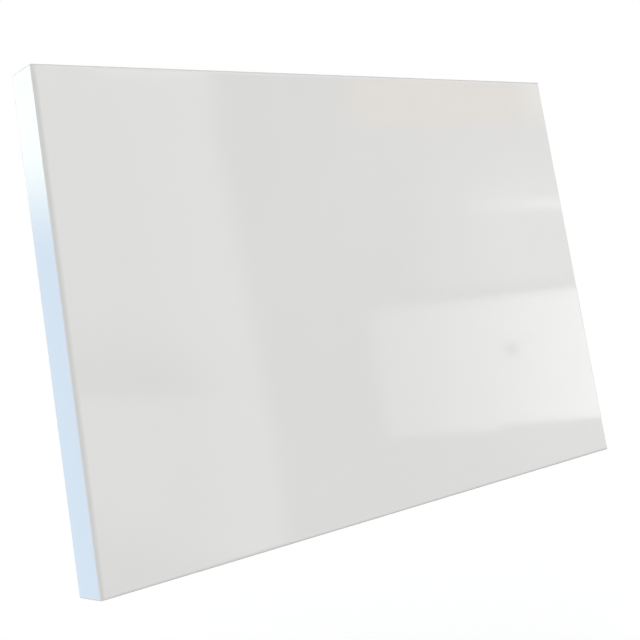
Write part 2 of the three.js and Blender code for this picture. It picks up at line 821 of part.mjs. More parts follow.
function makeGland(box) {
  const gland = new THREE.Group();
  gland.position.set(glandX, -boxHeight / 2, glandOut);
  box.add(gland);

  // Heights are counted up from the outside of the box's lower wall.
  const hexFoot = -seatGap - glandHexHeight;
  const tailEnd = hexFoot - glandTailLength;
  const threadTop = boxWall + seatGap + locknutHeight + glandThreadSpare;
  const tube = turned([
    [glandBodyBore, tailEnd],
    [glandThreadRadius, tailEnd],
    [glandThreadRadius, threadTop],
    [glandBodyBore, threadTop],
    [glandBodyBore, tailEnd],
  ]);
  const collar = hexagon(glandHex, glandHexHeight).translate(0, hexFoot + glandHexHeight / 2, 0);
  const way = rod(glandBodyBore, glandHexHeight + 2 * throughCut, roundSegments).translate(
    0,
    hexFoot,
    0,
  );
  piece(gland, "gland_body", join(tube, cut(collar, way)), greyPlastic);

  const nutBore = rod(glandThreadRadius + boltClearance, locknutHeight + throughCut, roundSegments);
  const locknut = cut(hexagon(glandHex, locknutHeight), nutBore);
  const locknutY = boxWall + seatGap + locknutHeight / 2;
  piece(gland, "gland_locknut", locknut, greyPlastic, 0, locknutY);

  const seal = turned([
    [glandCordRadius, tailEnd],
    [glandBodyBore - seatGap, tailEnd],
    [glandBodyBore - seatGap, tailEnd + glandTailLength],
    [glandCordRadius, tailEnd + glandTailLength],
    [glandCordRadius, tailEnd],
  ]);
  piece(gland, "gland_seal", seal, blackRubber);

  const nutTop = hexFoot - seatGap;
  const threadEnd = tailEnd - seatGap;
  const threadWay = glandThreadRadius + boltClearance;
  const skirt = hexagon(glandHex, glandNutHeight).translate(0, nutTop - glandNutHeight / 2, 0);
  const dome = turned([
    [0, threadEnd - glandDomeHeight],
    [glandCordRadius + glandMouthWall, threadEnd - glandDomeHeight],
    [threadWay + glandNutWall, threadEnd],
    [glandHex / 2, nutTop - glandNutHeight],
    [glandHex / 2, nutTop - glandNutHeight + glandDomeRoot],
    [0, nutTop - glandNutHeight + glandDomeRoot],
  ]);
  const socketTop = nutTop + throughCut;
  const socket = rod(threadWay, socketTop - threadEnd, roundSegments);
  socket.translate(0, (socketTop + threadEnd) / 2, 0);
  const mouth = rod(glandCordRadius, 6 * throughCut, roundSegments).translate(0, threadEnd, 0);
  piece(gland, "gland_nut", cut(join(skirt, dome), socket, mouth), greyPlastic);
}

function makeJunctionBox(panel) {
  const box = new THREE.Group();
  box.position.set(boxX, boxY, 0);
  panel.add(box);
  makeBoxShell(box);
  makeBoxFittings(box);
  makeGland(box);
}

// ---------------------------------------------------------------- wires
// Each route is a list of places round the middle of the box: x, y, and out from the wall.

function makeWires(panel) {
  const blockTop = boxY + blockY + blockHeight / 2 + seatGap;
  const poleOut = floorOut - seatGap - poleBoreHeight;
  const pole = (i) => boxX + blockX + (i - 1) * polePitch;
  const lane = (i) => boxX + grommetX + (i - 1) * wireLane;
  const throughY = boxY + grommetY;
  const pastCover = coverFront + seatGap + grommetFlangeHeight;

  // Out of the block, over to the grommet and forward through it. Lane 0 is the shortest way.
  const outOfBox = (i) => {
    const turn = blockTop + wireTurn + i * wireRow;
    const from = pole(2 - i);
    return [
      point(from, blockTop, poleOut),
      point(from, blockTop + wireStub, poleOut),
      point(from + wireTurn, turn, poleOut),
      point(lane(i) - 4, turn, poleOut),
      point(lane(i), turn - 5, poleOut),
      point(lane(i), throughY + 4, poleOut + 0.5),
      point(lane(i), throughY, poleOut + 5),
      point(lane(i), throughY, pastCover + 2),
    ];
  };

  const bladeEnd = bracketOut - bracketSheet / 2 - limiterBodyHeight - limiterBladeHeight - seatGap;
  const limiterBlade = (sign) => limiterPlace.x + (sign * limiterBladeSpacing) / 2;
  const tabEnd = elementOut - seatGap - tabSheet / 2 - tabBlade - seatGap;
  const tabY = (height) => height - tabFoot / 2;

  const line = wireAlong([
    ...outOfBox(0),
    point(lane(0) - 6, throughY + 3, pastCover + 9),
    point(limiterBlade(1) + 6, limiterPlace.y, bladeEnd - 9),
    point(limiterBlade(1), limiterPlace.y, bladeEnd - 3),
    point(limiterBlade(1), limiterPlace.y, bladeEnd),
  ]);
  piece(panel, "wire_line", line, brownWire);

  const neutral = wireAlong([
    ...outOfBox(2),
    point(lane(2) + 3, throughY - 12, pastCover + 14),
    point(tabX, tabY(tabPlaces.neutral), tabEnd - 12),
    point(tabX, tabY(tabPlaces.neutral), tabEnd),
  ]);
  piece(panel, "wire_neutral", neutral, blueWire);

  const crimpOut = lugPlane + lugSheet - wireRadius;
  const earthRoute = wireAlong([
    ...outOfBox(1),
    point(lane(1) + 4, throughY + 8, pastCover + 5),
    point(studPlace.x - lugRadius - 5, studPlace.y, crimpOut),
    point(studPlace.x - lugRadius + 0.5, studPlace.y, crimpOut),
  ]);
  const lug = turnedOut([
    [studRadius + boltClearance, lugPlane],
    [lugRadius, lugPlane],
    [lugRadius, lugPlane + lugSheet],
    [studRadius + boltClearance, lugPlane + lugSheet],
    [studRadius + boltClearance, lugPlane],
  ]).translate(studPlace.x, studPlace.y, 0);
  piece(panel, "wire_earth", join(earthRoute, lug), greenWire);

  const toTab = wireAlong([
    point(limiterBlade(-1), limiterPlace.y, bladeEnd),
    point(limiterBlade(-1), limiterPlace.y, bladeEnd - 3),
    point(limiterBlade(-1) + 3, limiterPlace.y - 12, bladeEnd - 5),
    point(tabX - 12, tabY(tabPlaces.line) - 2, tabEnd - 12),
    point(tabX, tabY(tabPlaces.line), tabEnd - 6),
    point(tabX, tabY(tabPlaces.line), tabEnd),
  ]);
  piece(panel, "wire_limiter", toTab, whiteWire);
}

// ---------------------------------------------------------------- hanging

function makeHangers(panel) {
  for (const [row, height] of Object.entries(railHeights)) {
    const shelf = height + hangerShelf;
    const profile = strip(
      [
        at(hangerWebOut, shelf + webHeight - railSheet / 2),
        at(hangerWebOut, shelf),
        at(hangerLipOut, shelf),
        at(hangerLipOut, shelf - hangerLipHeight),
      ],
      railSheet,
      railBend + railSheet / 2,
    );
    const holes = Object.values(sides).map((sign) =>
      rodOut(
        rivetRadius + boltClearance,
        throughCut,
        (sign * hangerRivetSpacing) / 2,
        height + hangerRivetHeight,
        hangerWebOut,
      ),
    );
    const hanger = cut(foldedAlongX(profile, railWidth), ...holes);
    piece(panel, `hanger_rail_${row}`, hanger, zincSheet);
  }
  const headOut = coverBack - seatGap - railSheet - seatGap;
  hangerRivetPlaces().forEach(({ name, x, y }) => {
    const rivet = blindRivet(headOut, coverFront + seatGap);
    piece(panel, `hanger_rivet_${name}`, rivet, platedSteel, x, y);
  });
}

function makeBumpers(panel) {
  const barb = coverFront + seatGap;
  const profile = [
    [0, 0],
    [bumperTipRadius - bumperBevel, 0],
    [bumperTipRadius, bumperBevel],
    [bumperFootRadius, coverBack - seatGap],
    [bumperNeckRadius, coverBack - seatGap],
    [bumperNeckRadius, barb],
    [bumperBarbRadius, barb],
    [bumperNeckRadius, barb + bumperBarbHeight],
    [0, barb + bumperBarbHeight],
  ];
  bumperPlaces().forEach(({ side, x, y }) => {
    piece(panel, `wall_bumper_${side}`, turnedOut(profile), blackRubber, x, y);
  });
}

function makeWallFrame(frame) {
  for (const [row, height] of Object.entries(railHeights)) {
    const profile = strip(
      [
        at(railSheet / 2, height - webHeight / 2),
        at(railSheet / 2, height + shelfMiddle),
        at(wallHookReach, height + shelfMiddle),
        at(wallHookReach, height + wallLipTop),
      ],
      railSheet,
      railBend + railSheet / 2,
    );
    const bendHeight = railSheet + railBend;
    const notch = block(
      railWidth - 2 * wallHookLength,
      2 * webHeight,
      4 * wallHookReach,
      0,
      height + webHeight / 2 - bendHeight + webHeight,
    );
    const slots = Object.values(sides).map((sign) => {
      const path = slot((sign * screwSlotSpacing) / 2, height, screwSlotLength, screwSlotWidth);
      const tool = plate(new THREE.Shape(path.getPoints(6)), 2 * throughCut);
      return tool.translate(0, 0, -throughCut);
    });
    const rivetHoles = Object.values(sides).map((sign) =>
      rodOut(rivetRadius + boltClearance, 2 * throughCut, (sign * uprightSpacing) / 2, height, 0),
    );
    const rail = cut(foldedAlongX(profile, railWidth), notch, ...slots, ...rivetHoles);
    piece(frame, `wall_rail_${row}`, rail, whitePowder);
  }

  const uprightOut = railSheet + seatGap;
  const uprightHeight = railPitch + webHeight - 2 * (railSheet + railBend);
  const headOut = uprightOut + railSheet + seatGap;
  for (const [side, sign] of Object.entries(sides)) {
    const x = (sign * uprightSpacing) / 2;
    const outline = rectangle(uprightWidth, uprightHeight, 0, x, panelMiddle);
    const holes = Object.values(railHeights).map((y) => disc(x, y, rivetRadius + boltClearance));
    const upright = plate(outline, railSheet, holes);
    piece(frame, `wall_upright_${side}`, upright, whitePowder, 0, 0, uprightOut);

    for (const [row, height] of Object.entries(railHeights)) {
      const rivet = turnedOut(
        [
          [0, seatGap],
          [rivetRadius, seatGap],
          [rivetRadius, headOut],
          [rivetHeadRadius, headOut],
          [rivetHeadRadius * rivetCrown, headOut + rivetHeadHeight],
          [0, headOut + rivetHeadHeight],
        ],
        smallSegments,
      );
      piece(frame, `wall_rivet_${row}_${side}`, rivet, platedSteel, x, height);
    }
  }
}

// ---------------------------------------------------------------- assembly

const heater = new THREE.Group();
const onWall = new THREE.Group(); // turns the wall's axes into x right, y into the wall, z up
onWall.rotation.x = Math.PI / 2;
heater.add(onWall);

const wallFrame = new THREE.Group();
const panel = new THREE.Group();
onWall.add(wallFrame, panel);

makeWallFrame(wallFrame);
makeCasing(panel);
makeBackCover(panel);
makeHeatingStack(panel);
makeElementTabs(panel);
makeLimiter(panel);
makeEarthStud(panel);
makeJunctionBox(panel);
makeWires(panel);
makeHangers(panel);
makeBumpers(panel);

export default heater;
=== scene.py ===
"""Looks of a wall-hung infrared panel heater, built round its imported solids.

The frame holds the solids in metres: +Z is up, +Y goes into the wall, and the origin is on the
wall at the middle of the upper rail. Each operator makes one kind of piece in its place there.
"""
import json
import math

import bmesh
import bpy
from bpy.props import FloatProperty, FloatVectorProperty, PointerProperty
from mathutils import Euler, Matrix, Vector, noise


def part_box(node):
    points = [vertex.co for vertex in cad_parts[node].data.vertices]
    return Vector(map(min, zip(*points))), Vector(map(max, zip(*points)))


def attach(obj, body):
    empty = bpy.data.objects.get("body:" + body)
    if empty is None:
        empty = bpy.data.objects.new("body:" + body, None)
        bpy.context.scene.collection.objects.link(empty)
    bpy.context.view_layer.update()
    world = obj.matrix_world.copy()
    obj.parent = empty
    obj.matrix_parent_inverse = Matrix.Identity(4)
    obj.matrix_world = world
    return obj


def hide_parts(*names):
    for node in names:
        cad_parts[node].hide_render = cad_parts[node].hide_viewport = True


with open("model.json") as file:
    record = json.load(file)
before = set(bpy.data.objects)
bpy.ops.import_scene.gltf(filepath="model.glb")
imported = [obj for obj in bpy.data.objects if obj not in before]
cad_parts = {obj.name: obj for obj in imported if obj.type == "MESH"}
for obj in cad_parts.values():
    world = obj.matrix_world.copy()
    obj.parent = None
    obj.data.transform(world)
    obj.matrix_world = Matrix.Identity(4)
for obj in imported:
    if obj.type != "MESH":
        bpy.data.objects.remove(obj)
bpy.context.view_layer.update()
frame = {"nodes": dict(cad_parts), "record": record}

bl_info = {
    "name": "Infrared Panel Heater",
    "version": (1, 0, 0),
    "blender": (4, 5, 0),
    "location": "View3D > Sidebar > Panel Heater",
    "description": "Builds the visible pieces, finishes and studio of a wall-hung panel heater",
    "category": "Add Mesh",
}

PANEL = "panel"
WALL_FRAME = "wall_frame"
ROUND_SIDES = 48
SMALL_SIDES = 32
DRILL_SIDES = 24
IMAGE_SIDE = 640

CASING_LOW, CASING_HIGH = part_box("casing")
FACE_Y = CASING_LOW.y
ROWS = ("upper", "lower")
SIDES = ("left", "right")

COVER_SCREWS, LID_SCREWS = 10, 4

# radii of the holes, and how far a drill or blade reaches past what it cuts
SCREW_HOLE, RIVET_HOLE, BUMPER_HOLE, WIRE_HOLE = 0.0019, 0.0023, 0.0033, 0.0063
PAST = 0.01


# ------------------------------------------------------------------ settings


def length(name, description, default):
    """A setting for a length, in metres."""
    return FloatProperty(
        name=name, description=description, default=default, min=0.0, unit="LENGTH", precision=5
    )


def colour(name, description, default):
    """A setting for a colour, as linear red, green and blue."""
    return FloatVectorProperty(
        name=name, description=description, default=default, min=0.0, max=1.0, subtype="COLOR"
    )


def brightness(name, description, default):
    """A setting for a lamp or a glow."""
    return FloatProperty(name=name, description=description, default=default, min=0.0)


class HeaterSizes(bpy.types.PropertyGroup):
    """Sizes of the details that the solids leave plain."""

    casing_sheet: length("Casing sheet", "Thickness of the casing's steel", 0.0012)
    front_bend: length("Front bend", "Outside radius of the folds round the warm face", 0.0055)
    rear_bend: length("Rear bend", "Outside radius of the folds round the back", 0.0022)
    casing_corner: length("Corner radius", "Radius of the ground corners", 0.0012)
    rear_edge: length("Rear edge", "Width of the edge that is folded in at the back", 0.016)
    mitre_gap: length("Mitre gap", "Gap between two folded-in edges at a corner", 0.00035)
    face_wave: length("Face wave", "How far the pressed sheet strays from flat", 0.00012)
    wave_length: length("Wave length", "Distance between two waves of the sheet", 0.21)
    rail_web: length("Rail web", "Height of a rail's flat back", 0.034)
    rail_sheet: length("Rail sheet", "Thickness of the rails' steel", 0.002)
    rail_bend: length("Rail bend", "Inside radius of the rails' folds", 0.001)
    cut_edge: length("Cut edge", "Rounding of punched and sawn edges", 0.00018)


class HeaterColours(bpy.types.PropertyGroup):
    """Colours of the finishes."""

    enamel: colour("Gloss enamel", "Paint of the casing", (0.76, 0.757, 0.745))
    powder: colour("Powder coat", "Paint of the wall frame", (0.72, 0.715, 0.69))
    zinc: colour("Galvanised steel", "Back cover and hanger rails", (0.50, 0.52, 0.53))
    plated: colour("Plated steel", "Screws and rivets", (0.62, 0.63, 0.64))
    grey_plastic: colour("Grey plastic", "Junction box and cord gland", (0.068, 0.072, 0.076))
    white_plastic: colour("White plastic", "Terminal block and limiter", (0.72, 0.70, 0.64))
    rubber: colour("Black rubber", "Bumpers, seals and grommet", (0.016, 0.016, 0.017))
    brass: colour("Brass", "Tabs and earth stud", (0.62, 0.42, 0.17))
    mica: colour("Mica", "Insulating sheets", (0.46, 0.33, 0.16))
    alloy: colour("Heating alloy", "Heating ribbon", (0.30, 0.26, 0.23))
    foil: colour("Aluminium foil", "Reflector", (0.82, 0.83, 0.84))
    wool: colour("Mineral wool", "Insulation board", (0.50, 0.42, 0.20))
    brown_wire: colour("Brown wire", "Insulation of the line wire", (0.075, 0.030, 0.012))
    blue_wire: colour("Blue wire", "Insulation of the neutral wire", (0.014, 0.085, 0.32))
    green_wire: colour("Green wire", "Insulation of the earth wire", (0.10, 0.30, 0.02))
    yellow_stripe: colour("Yellow stripe", "Stripe on the earth wire", (0.75, 0.62, 0.03))
    white_wire: colour("White wire", "Sleeve of the limiter's wire", (0.74, 0.70, 0.60))


class HeaterStage(bpy.types.PropertyGroup):
    """Light, floor and camera."""

    ambient: brightness("Ambient", "Even light from all round", 0.70)
    key: brightness("Key lamp", "Strength of the lamp from the front right", 0.965)
    side: brightness("Side lamp", "Strength of the lamp from the left", 0.57)
    side_colour: colour("Side lamp colour", "Daylight from the left", (0.80, 0.92, 1.0))
    overhead: brightness("Overhead lamp", "Strength of the lamp from above", 0.35)
    flag_grey: brightness("Flag grey", "Brightness of the dark sheets over and under it", 0.05)
    floor_colour: colour("Floor colour", "The pale floor under the heater", (0.80, 0.80, 0.80))
    floor_lift: brightness("Floor lift", "What makes the seen floor white round the shadow", 0.28)
    floor_drop: length("Floor drop", "Height of the heater over the floor", 0.35)
    lens: FloatProperty(
        name="Lens",
        description="Focal length for a 36 mm wide sensor",
        default=62.71,
        unit="CAMERA",
    )


# ------------------------------------------------------------------ mesh work


def loft(bm, loops, closed=False, capped=True):
    """Joins loops of points by strips of faces. A closed loft joins its last loop to its first,
    and an open one gets a face over each end, unless it isn't capped."""
    rows = [[bm.verts.new(point) for point in loop] for loop in loops]
    pairs = list(zip(rows, rows[1:]))
    if closed:
        pairs.append((rows[-1], rows[0]))
    for here, there in pairs:
        for i in range(len(here)):
            j = (i + 1) % len(here)
            bm.faces.new((here[i], here[j], there[j], there[i]))
    if capped and not closed:
        bm.faces.new(rows[0][::-1])
        bm.faces.new(rows[-1])
    return bm


def turned(profile, centre=(0, 0, 0), axis="y", sides=SMALL_SIDES, bm=None):
    """A body turned round an axis through centre. The profile lists radius and place along it."""
    loops = []
    for radius, along in profile:
        loop = []
        for i in range(sides):
            turn = 2 * math.pi * i / sides
            a, b = radius * math.cos(turn), radius * math.sin(turn)
            offset = (a, along, b) if axis == "y" else (a, b, along)
            loop.append(Vector(centre) + Vector(offset))
        loops.append(loop)
    return loft(bm or bmesh.new(), loops)


def rounded_rectangle(width, height, radius, centre, y, steps=6):
    """Points round a rectangle with round corners that faces along Y."""
    points = []
    for corner, (right, up) in enumerate(((1, 1), (-1, 1), (-1, -1), (1, -1))):
        for step in range(steps + 1):
            turn = (corner + step / steps) * math.pi / 2
            x = centre[0] + right * (width / 2 - radius) + radius * math.cos(turn)
            z = centre[2] + up * (height / 2 - radius) + radius * math.sin(turn)
            points.append(Vector((x, y, z)))
    return points


def quarter_turn(steps):
    """Angles from nothing to a right angle."""
    return [math.pi / 2 * step / steps for step in range(steps + 1)]


def box_of(low, high):
    """A plain block between two corners, for cutting."""
    outline = ((low[0], low[1]), (high[0], low[1]), (high[0], high[1]), (low[0], high[1]))
    return loft(bmesh.new(), [[Vector((x, y, z)) for x, y in outline] for z in (low[2], high[2])])


def folded(corners, sheet, inside, steps=6):
    """Outline of a folded sheet, as places along Y and Z, whose middle runs through corners."""
    line = []
    last = len(corners) - 1
    for i, corner in enumerate(corners):
        here = Vector(corner)
        if i in (0, last):
            away = (Vector(corners[1]) - here) if i == 0 else (here - Vector(corners[i - 1]))
            away.normalize()
            line.append((here, Vector((-away.y, away.x))))
            continue
        arriving = (here - Vector(corners[i - 1])).normalized()
        leaving = (Vector(corners[i + 1]) - here).normalized()
        radius = inside + sheet / 2
        turn = math.copysign(1, arriving.x * leaving.y - arriving.y * leaving.x)
        centre = here - arriving * radius + Vector((-arriving.y, arriving.x)) * turn * radius
        for angle in quarter_turn(steps):
            cos, sin = math.cos(turn * angle), math.sin(turn * angle)
            x, y = -arriving.y, arriving.x
            across = Vector((x * cos - y * sin, x * sin + y * cos))
            line.append((centre - across * turn * radius, across))
    one = [point + across * sheet / 2 for point, across in line]
    other = [point - across * sheet / 2 for point, across in line]
    return one + other[::-1]


def drawn_along_x(outline, start, end):
    """A bar from start to end along X with that outline."""
    loops = [[Vector((x, point.x, point.y)) for point in outline] for x in (start, end)]
    return loft(bmesh.new(), loops)


def cleaned(bm):
    """Merges points that meet and turns all faces outwards."""
    bmesh.ops.remove_doubles(bm, verts=bm.verts, dist=1e-7)
    bmesh.ops.dissolve_degenerate(bm, edges=bm.edges, dist=1e-8)
    bmesh.ops.recalc_face_normals(bm, faces=bm.faces)
    return bm


def to_object(name, bm):
    """Puts a bmesh into a new object."""
    mesh = bpy.data.meshes.new(name)
    cleaned(bm).to_mesh(mesh)
    bm.free()
    piece = bpy.data.objects.new(name, mesh)
    bpy.context.scene.collection.objects.link(piece)
    return piece


def drop(piece):
    """Removes a helper object and its mesh."""
    mesh = piece.data
    bpy.data.objects.remove(piece)
    bpy.data.meshes.remove(mesh)


def worked(name, bm, cuts=None, adds=None, edge=0.0, sharp=35):
    """A finished mesh: adds are joined, cuts are taken away, edges rounded and faces shaded."""
    body = to_object(name + "_rough", bm)
    helpers = []
    for tool, operation in ((adds, "UNION"), (cuts, "DIFFERENCE")):
        if tool is None:
            continue
        helper = to_object(name + "_tool", tool)
        modifier = body.modifiers.new(operation.lower(), "BOOLEAN")
        modifier.operation = operation
        modifier.object = helper
        modifier.solver = "EXACT"
        helpers.append(helper)
    if edge:
        bevel = body.modifiers.new("edges", "BEVEL")
        bevel.width = edge
        bevel.segments = 2
        bevel.limit_method = "ANGLE"
        bevel.angle_limit = math.radians(50)
        bevel.use_clamp_overlap = True
    graph = bpy.context.evaluated_depsgraph_get()
    mesh = bpy.data.meshes.new_from_object(body.evaluated_get(graph), depsgraph=graph)
    mesh.name = name
    mesh.shade_smooth()
    mesh.set_sharp_from_angle(angle=math.radians(sharp))
    for helper in (body, *helpers):
        drop(helper)
    return mesh


def placed(name, mesh, body, slot, nodes, location=(0, 0, 0)):
    """Makes a piece of a mesh, gives it its finish and lets it stand for CAD nodes."""
    piece = bpy.data.objects.new(name, mesh)
    bpy.context.scene.collection.objects.link(piece)
    piece.location = location
    if not mesh.materials:
        mesh.materials.append(finish(slot))
    normals = piece.modifiers.new("even shading", "WEIGHTED_NORMAL")
    normals.keep_sharp = True
    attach(piece, body)
    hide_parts(*nodes)
    return piece


def middle_of(node):
    """The middle of a CAD node's box."""
    low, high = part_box(node)
    return (low + high) / 2


# ------------------------------------------------------------------ finishes


def add_node(tree, kind, inputs, **settings):
    """Adds a node. An input is set to a value, or linked where it is given another's output."""
    node = tree.nodes.new(kind)
    for name, value in settings.items():
        setattr(node, name, value)
    for key, value in inputs.items():
        if isinstance(value, bpy.types.NodeSocket):
            tree.links.new(value, node.inputs[key])
        else:
            node.inputs[key].default_value = value
    return node


class Finish:
    """One procedural material: a Principled shader that patterns in the piece's own space feed."""

    def __init__(self, name, roughness, metallic=0.0):
        self.material = bpy.data.materials.new(name)
        self.material.use_nodes = True
        self.tree = self.material.node_tree
        self.shader = self.tree.nodes["Principled BSDF"]
        self.shader.inputs["Roughness"].default_value = roughness
        self.shader.inputs["Metallic"].default_value = metallic
        self.place = self.add("TexCoord", {}).outputs["Object"]
        self.normal = None

    def add(self, kind, inputs, **settings):
        return add_node(self.tree, "ShaderNode" + kind, inputs, **settings)

    def feed(self, name, source):
        """Links a source to an input of the shader."""
        self.tree.links.new(source, self.shader.inputs[name])
        return self

    def stretched(self, x, y, z):
        """Places for a pattern that is drawn out along some axes."""
        return self.add("Mapping", {"Vector": self.place, "Scale": (x, y, z)}).outputs["Vector"]

    def wandering(self, scale, reach):
        """Places that stray by up to reach, in metres, so that a pattern's edges bend."""
        wander = self.add("TexNoise", {"Vector": self.place, "Scale": scale}).outputs["Color"]
        inputs = {0: wander, 1: (reach, reach, reach), 2: self.place}
        return self.add("VectorMath", inputs, operation="MULTIPLY_ADD").outputs["Vector"]

    def cloud(self, scale, detail, place=None, distortion=0.0):
        """Soft noise, with scale in waves for each metre."""
        inputs = {"Vector": place or self.place, "Scale": scale, "Detail": detail}
        inputs["Distortion"] = distortion
        return self.add("TexNoise", inputs).outputs["Fac"]

    def cells(self, scale, place=None):
        """Grains with scale in grains for each metre, each with a grey of its own."""
        grains = self.add("TexVoronoi", {"Vector": place or self.place, "Scale": scale})
        split = self.add("SeparateColor", {"Color": grains.outputs["Color"]})
        return split.outputs["Red"]

    def cell_edges(self, scale, place):
        """How far it is to the nearest edge between two grains."""
        inputs = {"Vector": place, "Scale": scale}
        grains = self.add("TexVoronoi", inputs, feature="DISTANCE_TO_EDGE")
        return grains.outputs["Distance"]

    def stripes(self, scale):
        """Even slanting bands with scale in bands for each metre."""
        inputs = {"Vector": self.place, "Scale": scale}
        return self.add("TexWave", inputs, bands_direction="DIAGONAL").outputs["Fac"]

    def ranged(self, source, low, high, start, stop):
        """Takes source from start..stop to low..high."""
        limits = {"From Min": start, "From Max": stop, "To Min": low, "To Max": high}
        return self.add("MapRange", {"Value": source, **limits}).outputs["Result"]

    def coloured(self, source, one, other, start=0.3, stop=0.7):
        """Feeds the base colour, from one to other as source goes from start to stop."""
        self.shader.inputs["Base Color"].default_value = (*one, 1)
        return self.mottled(source, other, 1, start, stop)

    def mottled(self, source, other, most, start=0.3, stop=0.7):
        """Lets another colour show through, by a share of up to most."""
        target = self.shader.inputs["Base Color"]
        base = target.links[0].from_socket if target.links else target.default_value
        inputs = {0: self.ranged(source, 0, most, start, stop), 6: base, 7: (*other, 1)}
        return self.feed("Base Color", self.add("Mix", inputs, data_type="RGBA").outputs[2])

    def rough(self, source, low, high, start=0.3, stop=0.7):
        """Feeds the roughness."""
        return self.feed("Roughness", self.ranged(source, low, high, start, stop))

    def raised(self, source, depth):
        """Adds relief of that depth, in metres."""
        inputs = {"Strength": 1.0, "Distance": depth, "Height": source}
        if self.normal:
            inputs["Normal"] = self.normal
        self.normal = self.add("Bump", inputs).outputs["Normal"]
        return self.feed("Normal", self.normal)


def shade(base, factor):
    """A colour made lighter or darker."""
    return [min(1.0, channel * factor) for channel in base]


def gloss_enamel(base):
    """Gloss stove enamel on pressed sheet, with the faint relief of sprayed paint."""
    made = Finish("gloss enamel", 0.055)
    made.coloured(made.cloud(4, 2), shade(base, 0.988), shade(base, 1.004))
    made.rough(made.cloud(9, 4), 0.045, 0.065)
    made.raised(made.cloud(230, 1), 2.5e-6)
    return made.raised(made.cloud(900, 2), 4e-7).material


def powder_coat(base):
    """Satin powder coat with a fine texture."""
    made = Finish("satin powder coat", 0.42)
    made.coloured(made.cloud(14, 4), shade(base, 0.965), shade(base, 1.0))
    made.rough(made.cloud(60, 3), 0.36, 0.48)
    return made.raised(made.cloud(1100, 2), 1.4e-5).material


def galvanised_sheet(base):
    """Hot-dip galvanised sheet: faint spangles with their own grey and gloss, and roll lines."""
    made = Finish("galvanised sheet", 0.45, 0.9)
    place = made.wandering(240, 0.002)
    spangle, crystal = made.cells(150, place), made.cells(620, place)
    made.coloured(spangle, shade(base, 0.93), shade(base, 1.06), 0.0, 1.0)
    made.mottled(crystal, shade(base, 0.95), 0.3)
    made.mottled(made.cloud(5, 4), shade(base, 0.86), 0.3)
    made.rough(spangle, 0.36, 0.50, 0.0, 1.0)
    lines = made.cloud(500, 3, made.stretched(0.03, 1, 1))
    made.raised(spangle, 3e-6)
    return made.raised(lines, 2e-6).material


def plated_metal(base):
    """Bright zinc plate on small fasteners, with handling marks."""
    made = Finish("zinc plate", 0.3, 1.0)
    made.coloured(made.cloud(700, 4), shade(base, 0.86), shade(base, 1.1))
    made.rough(made.cloud(1500, 4), 0.22, 0.42)
    return made.raised(made.cloud(2600, 2), 3e-6).material


def moulded_plastic(name, base, depth=6e-6):
    """Moulded plastic with a fine spark-eroded texture and faint flow marks."""
    made = Finish(name, 0.5)
    made.coloured(made.cloud(45, 4, None, 0.6), shade(base, 0.93), shade(base, 1.05))
    made.rough(made.cloud(220, 3), 0.42, 0.58)
    return made.raised(made.cloud(1900, 2), depth).material


def moulded_rubber(base):
    """Matt rubber with a dusting of bloom."""
    made = Finish("matt rubber", 0.72)
    made.coloured(made.cloud(60, 3), base, shade(base, 1.45), 0.4, 0.9)
    made.rough(made.cloud(300, 3), 0.62, 0.80)
    return made.raised(made.cloud(1300, 2), 5e-6).material


def drawn_brass(base):
    """Brass with a light tarnish and draw lines."""
    made = Finish("drawn brass", 0.32, 1.0)
    made.coloured(made.cloud(260, 5), base, shade(base, 0.66), 0.45, 0.85)
    made.rough(made.cloud(500, 3), 0.24, 0.44)
    return made.raised(made.cloud(900, 2, made.stretched(1, 1, 0.08)), 4e-6).material


def pressed_mica(base):
    """Mica flakes pressed into a sheet."""
    made = Finish("pressed mica", 0.5)
    flakes = made.cells(150, made.stretched(1, 4, 1))
    made.coloured(flakes, shade(base, 0.72), shade(base, 1.3), 0.0, 1.0)
    made.mottled(made.cloud(30, 5), shade(base, 0.6), 1, 0.55, 0.8)
    made.rough(flakes, 0.28, 0.62, 0.0, 1.0)
    return made.raised(flakes, 2.5e-5).material


def oxidised_alloy(base):
    """Resistance foil with a heat tint."""
    made = Finish("heating alloy", 0.4, 1.0)
    made.coloured(made.cloud(22, 4), base, (base[0] * 1.2, base[1] * 0.86, base[2] * 0.6))
    made.rough(made.cloud(160, 3), 0.32, 0.5)
    return made.raised(made.cloud(600, 2, made.stretched(1, 1, 0.1)), 5e-6).material


def creased_foil(base):
    """Aluminium foil with the creases of handling."""
    made = Finish("creased foil", 0.28, 1.0)
    creases = made.cell_edges(70, made.stretched(1, 1, 0.7))
    made.coloured(made.cloud(50, 4), shade(base, 0.93), base)
    made.rough(made.cloud(90, 4), 0.2, 0.36)
    return made.raised(made.ranged(creases, 0, 1, 0.0, 0.12), 1.2e-4).material


def pressed_wool(base):
    """Board of mineral wool: layered fibres with darker flecks."""
    made = Finish("mineral wool", 0.95)
    made.shader.inputs["Sheen Weight"].default_value = 0.25
    fibres = made.cloud(700, 5, made.stretched(0.12, 1, 1), 1.2)
    made.coloured(fibres, shade(base, 0.72), shade(base, 1.35))
    made.mottled(made.cells(420), shade(base, 0.35), 1, 0.93, 0.98)
    return made.raised(fibres, 4e-4).material


def wire_sleeve(name, base, stripe=None):
    """Extruded insulation, with a stripe where the wire has one."""
    made = Finish(name, 0.42)
    made.coloured(made.cloud(140, 4), shade(base, 0.86), shade(base, 1.08))
    if stripe:
        made.mottled(made.stripes(60), stripe, 1, 0.55, 0.6)
    made.rough(made.cloud(400, 3), 0.36, 0.5)
    return made.raised(made.cloud(1200, 2), 5e-6).material


made_finishes = {}


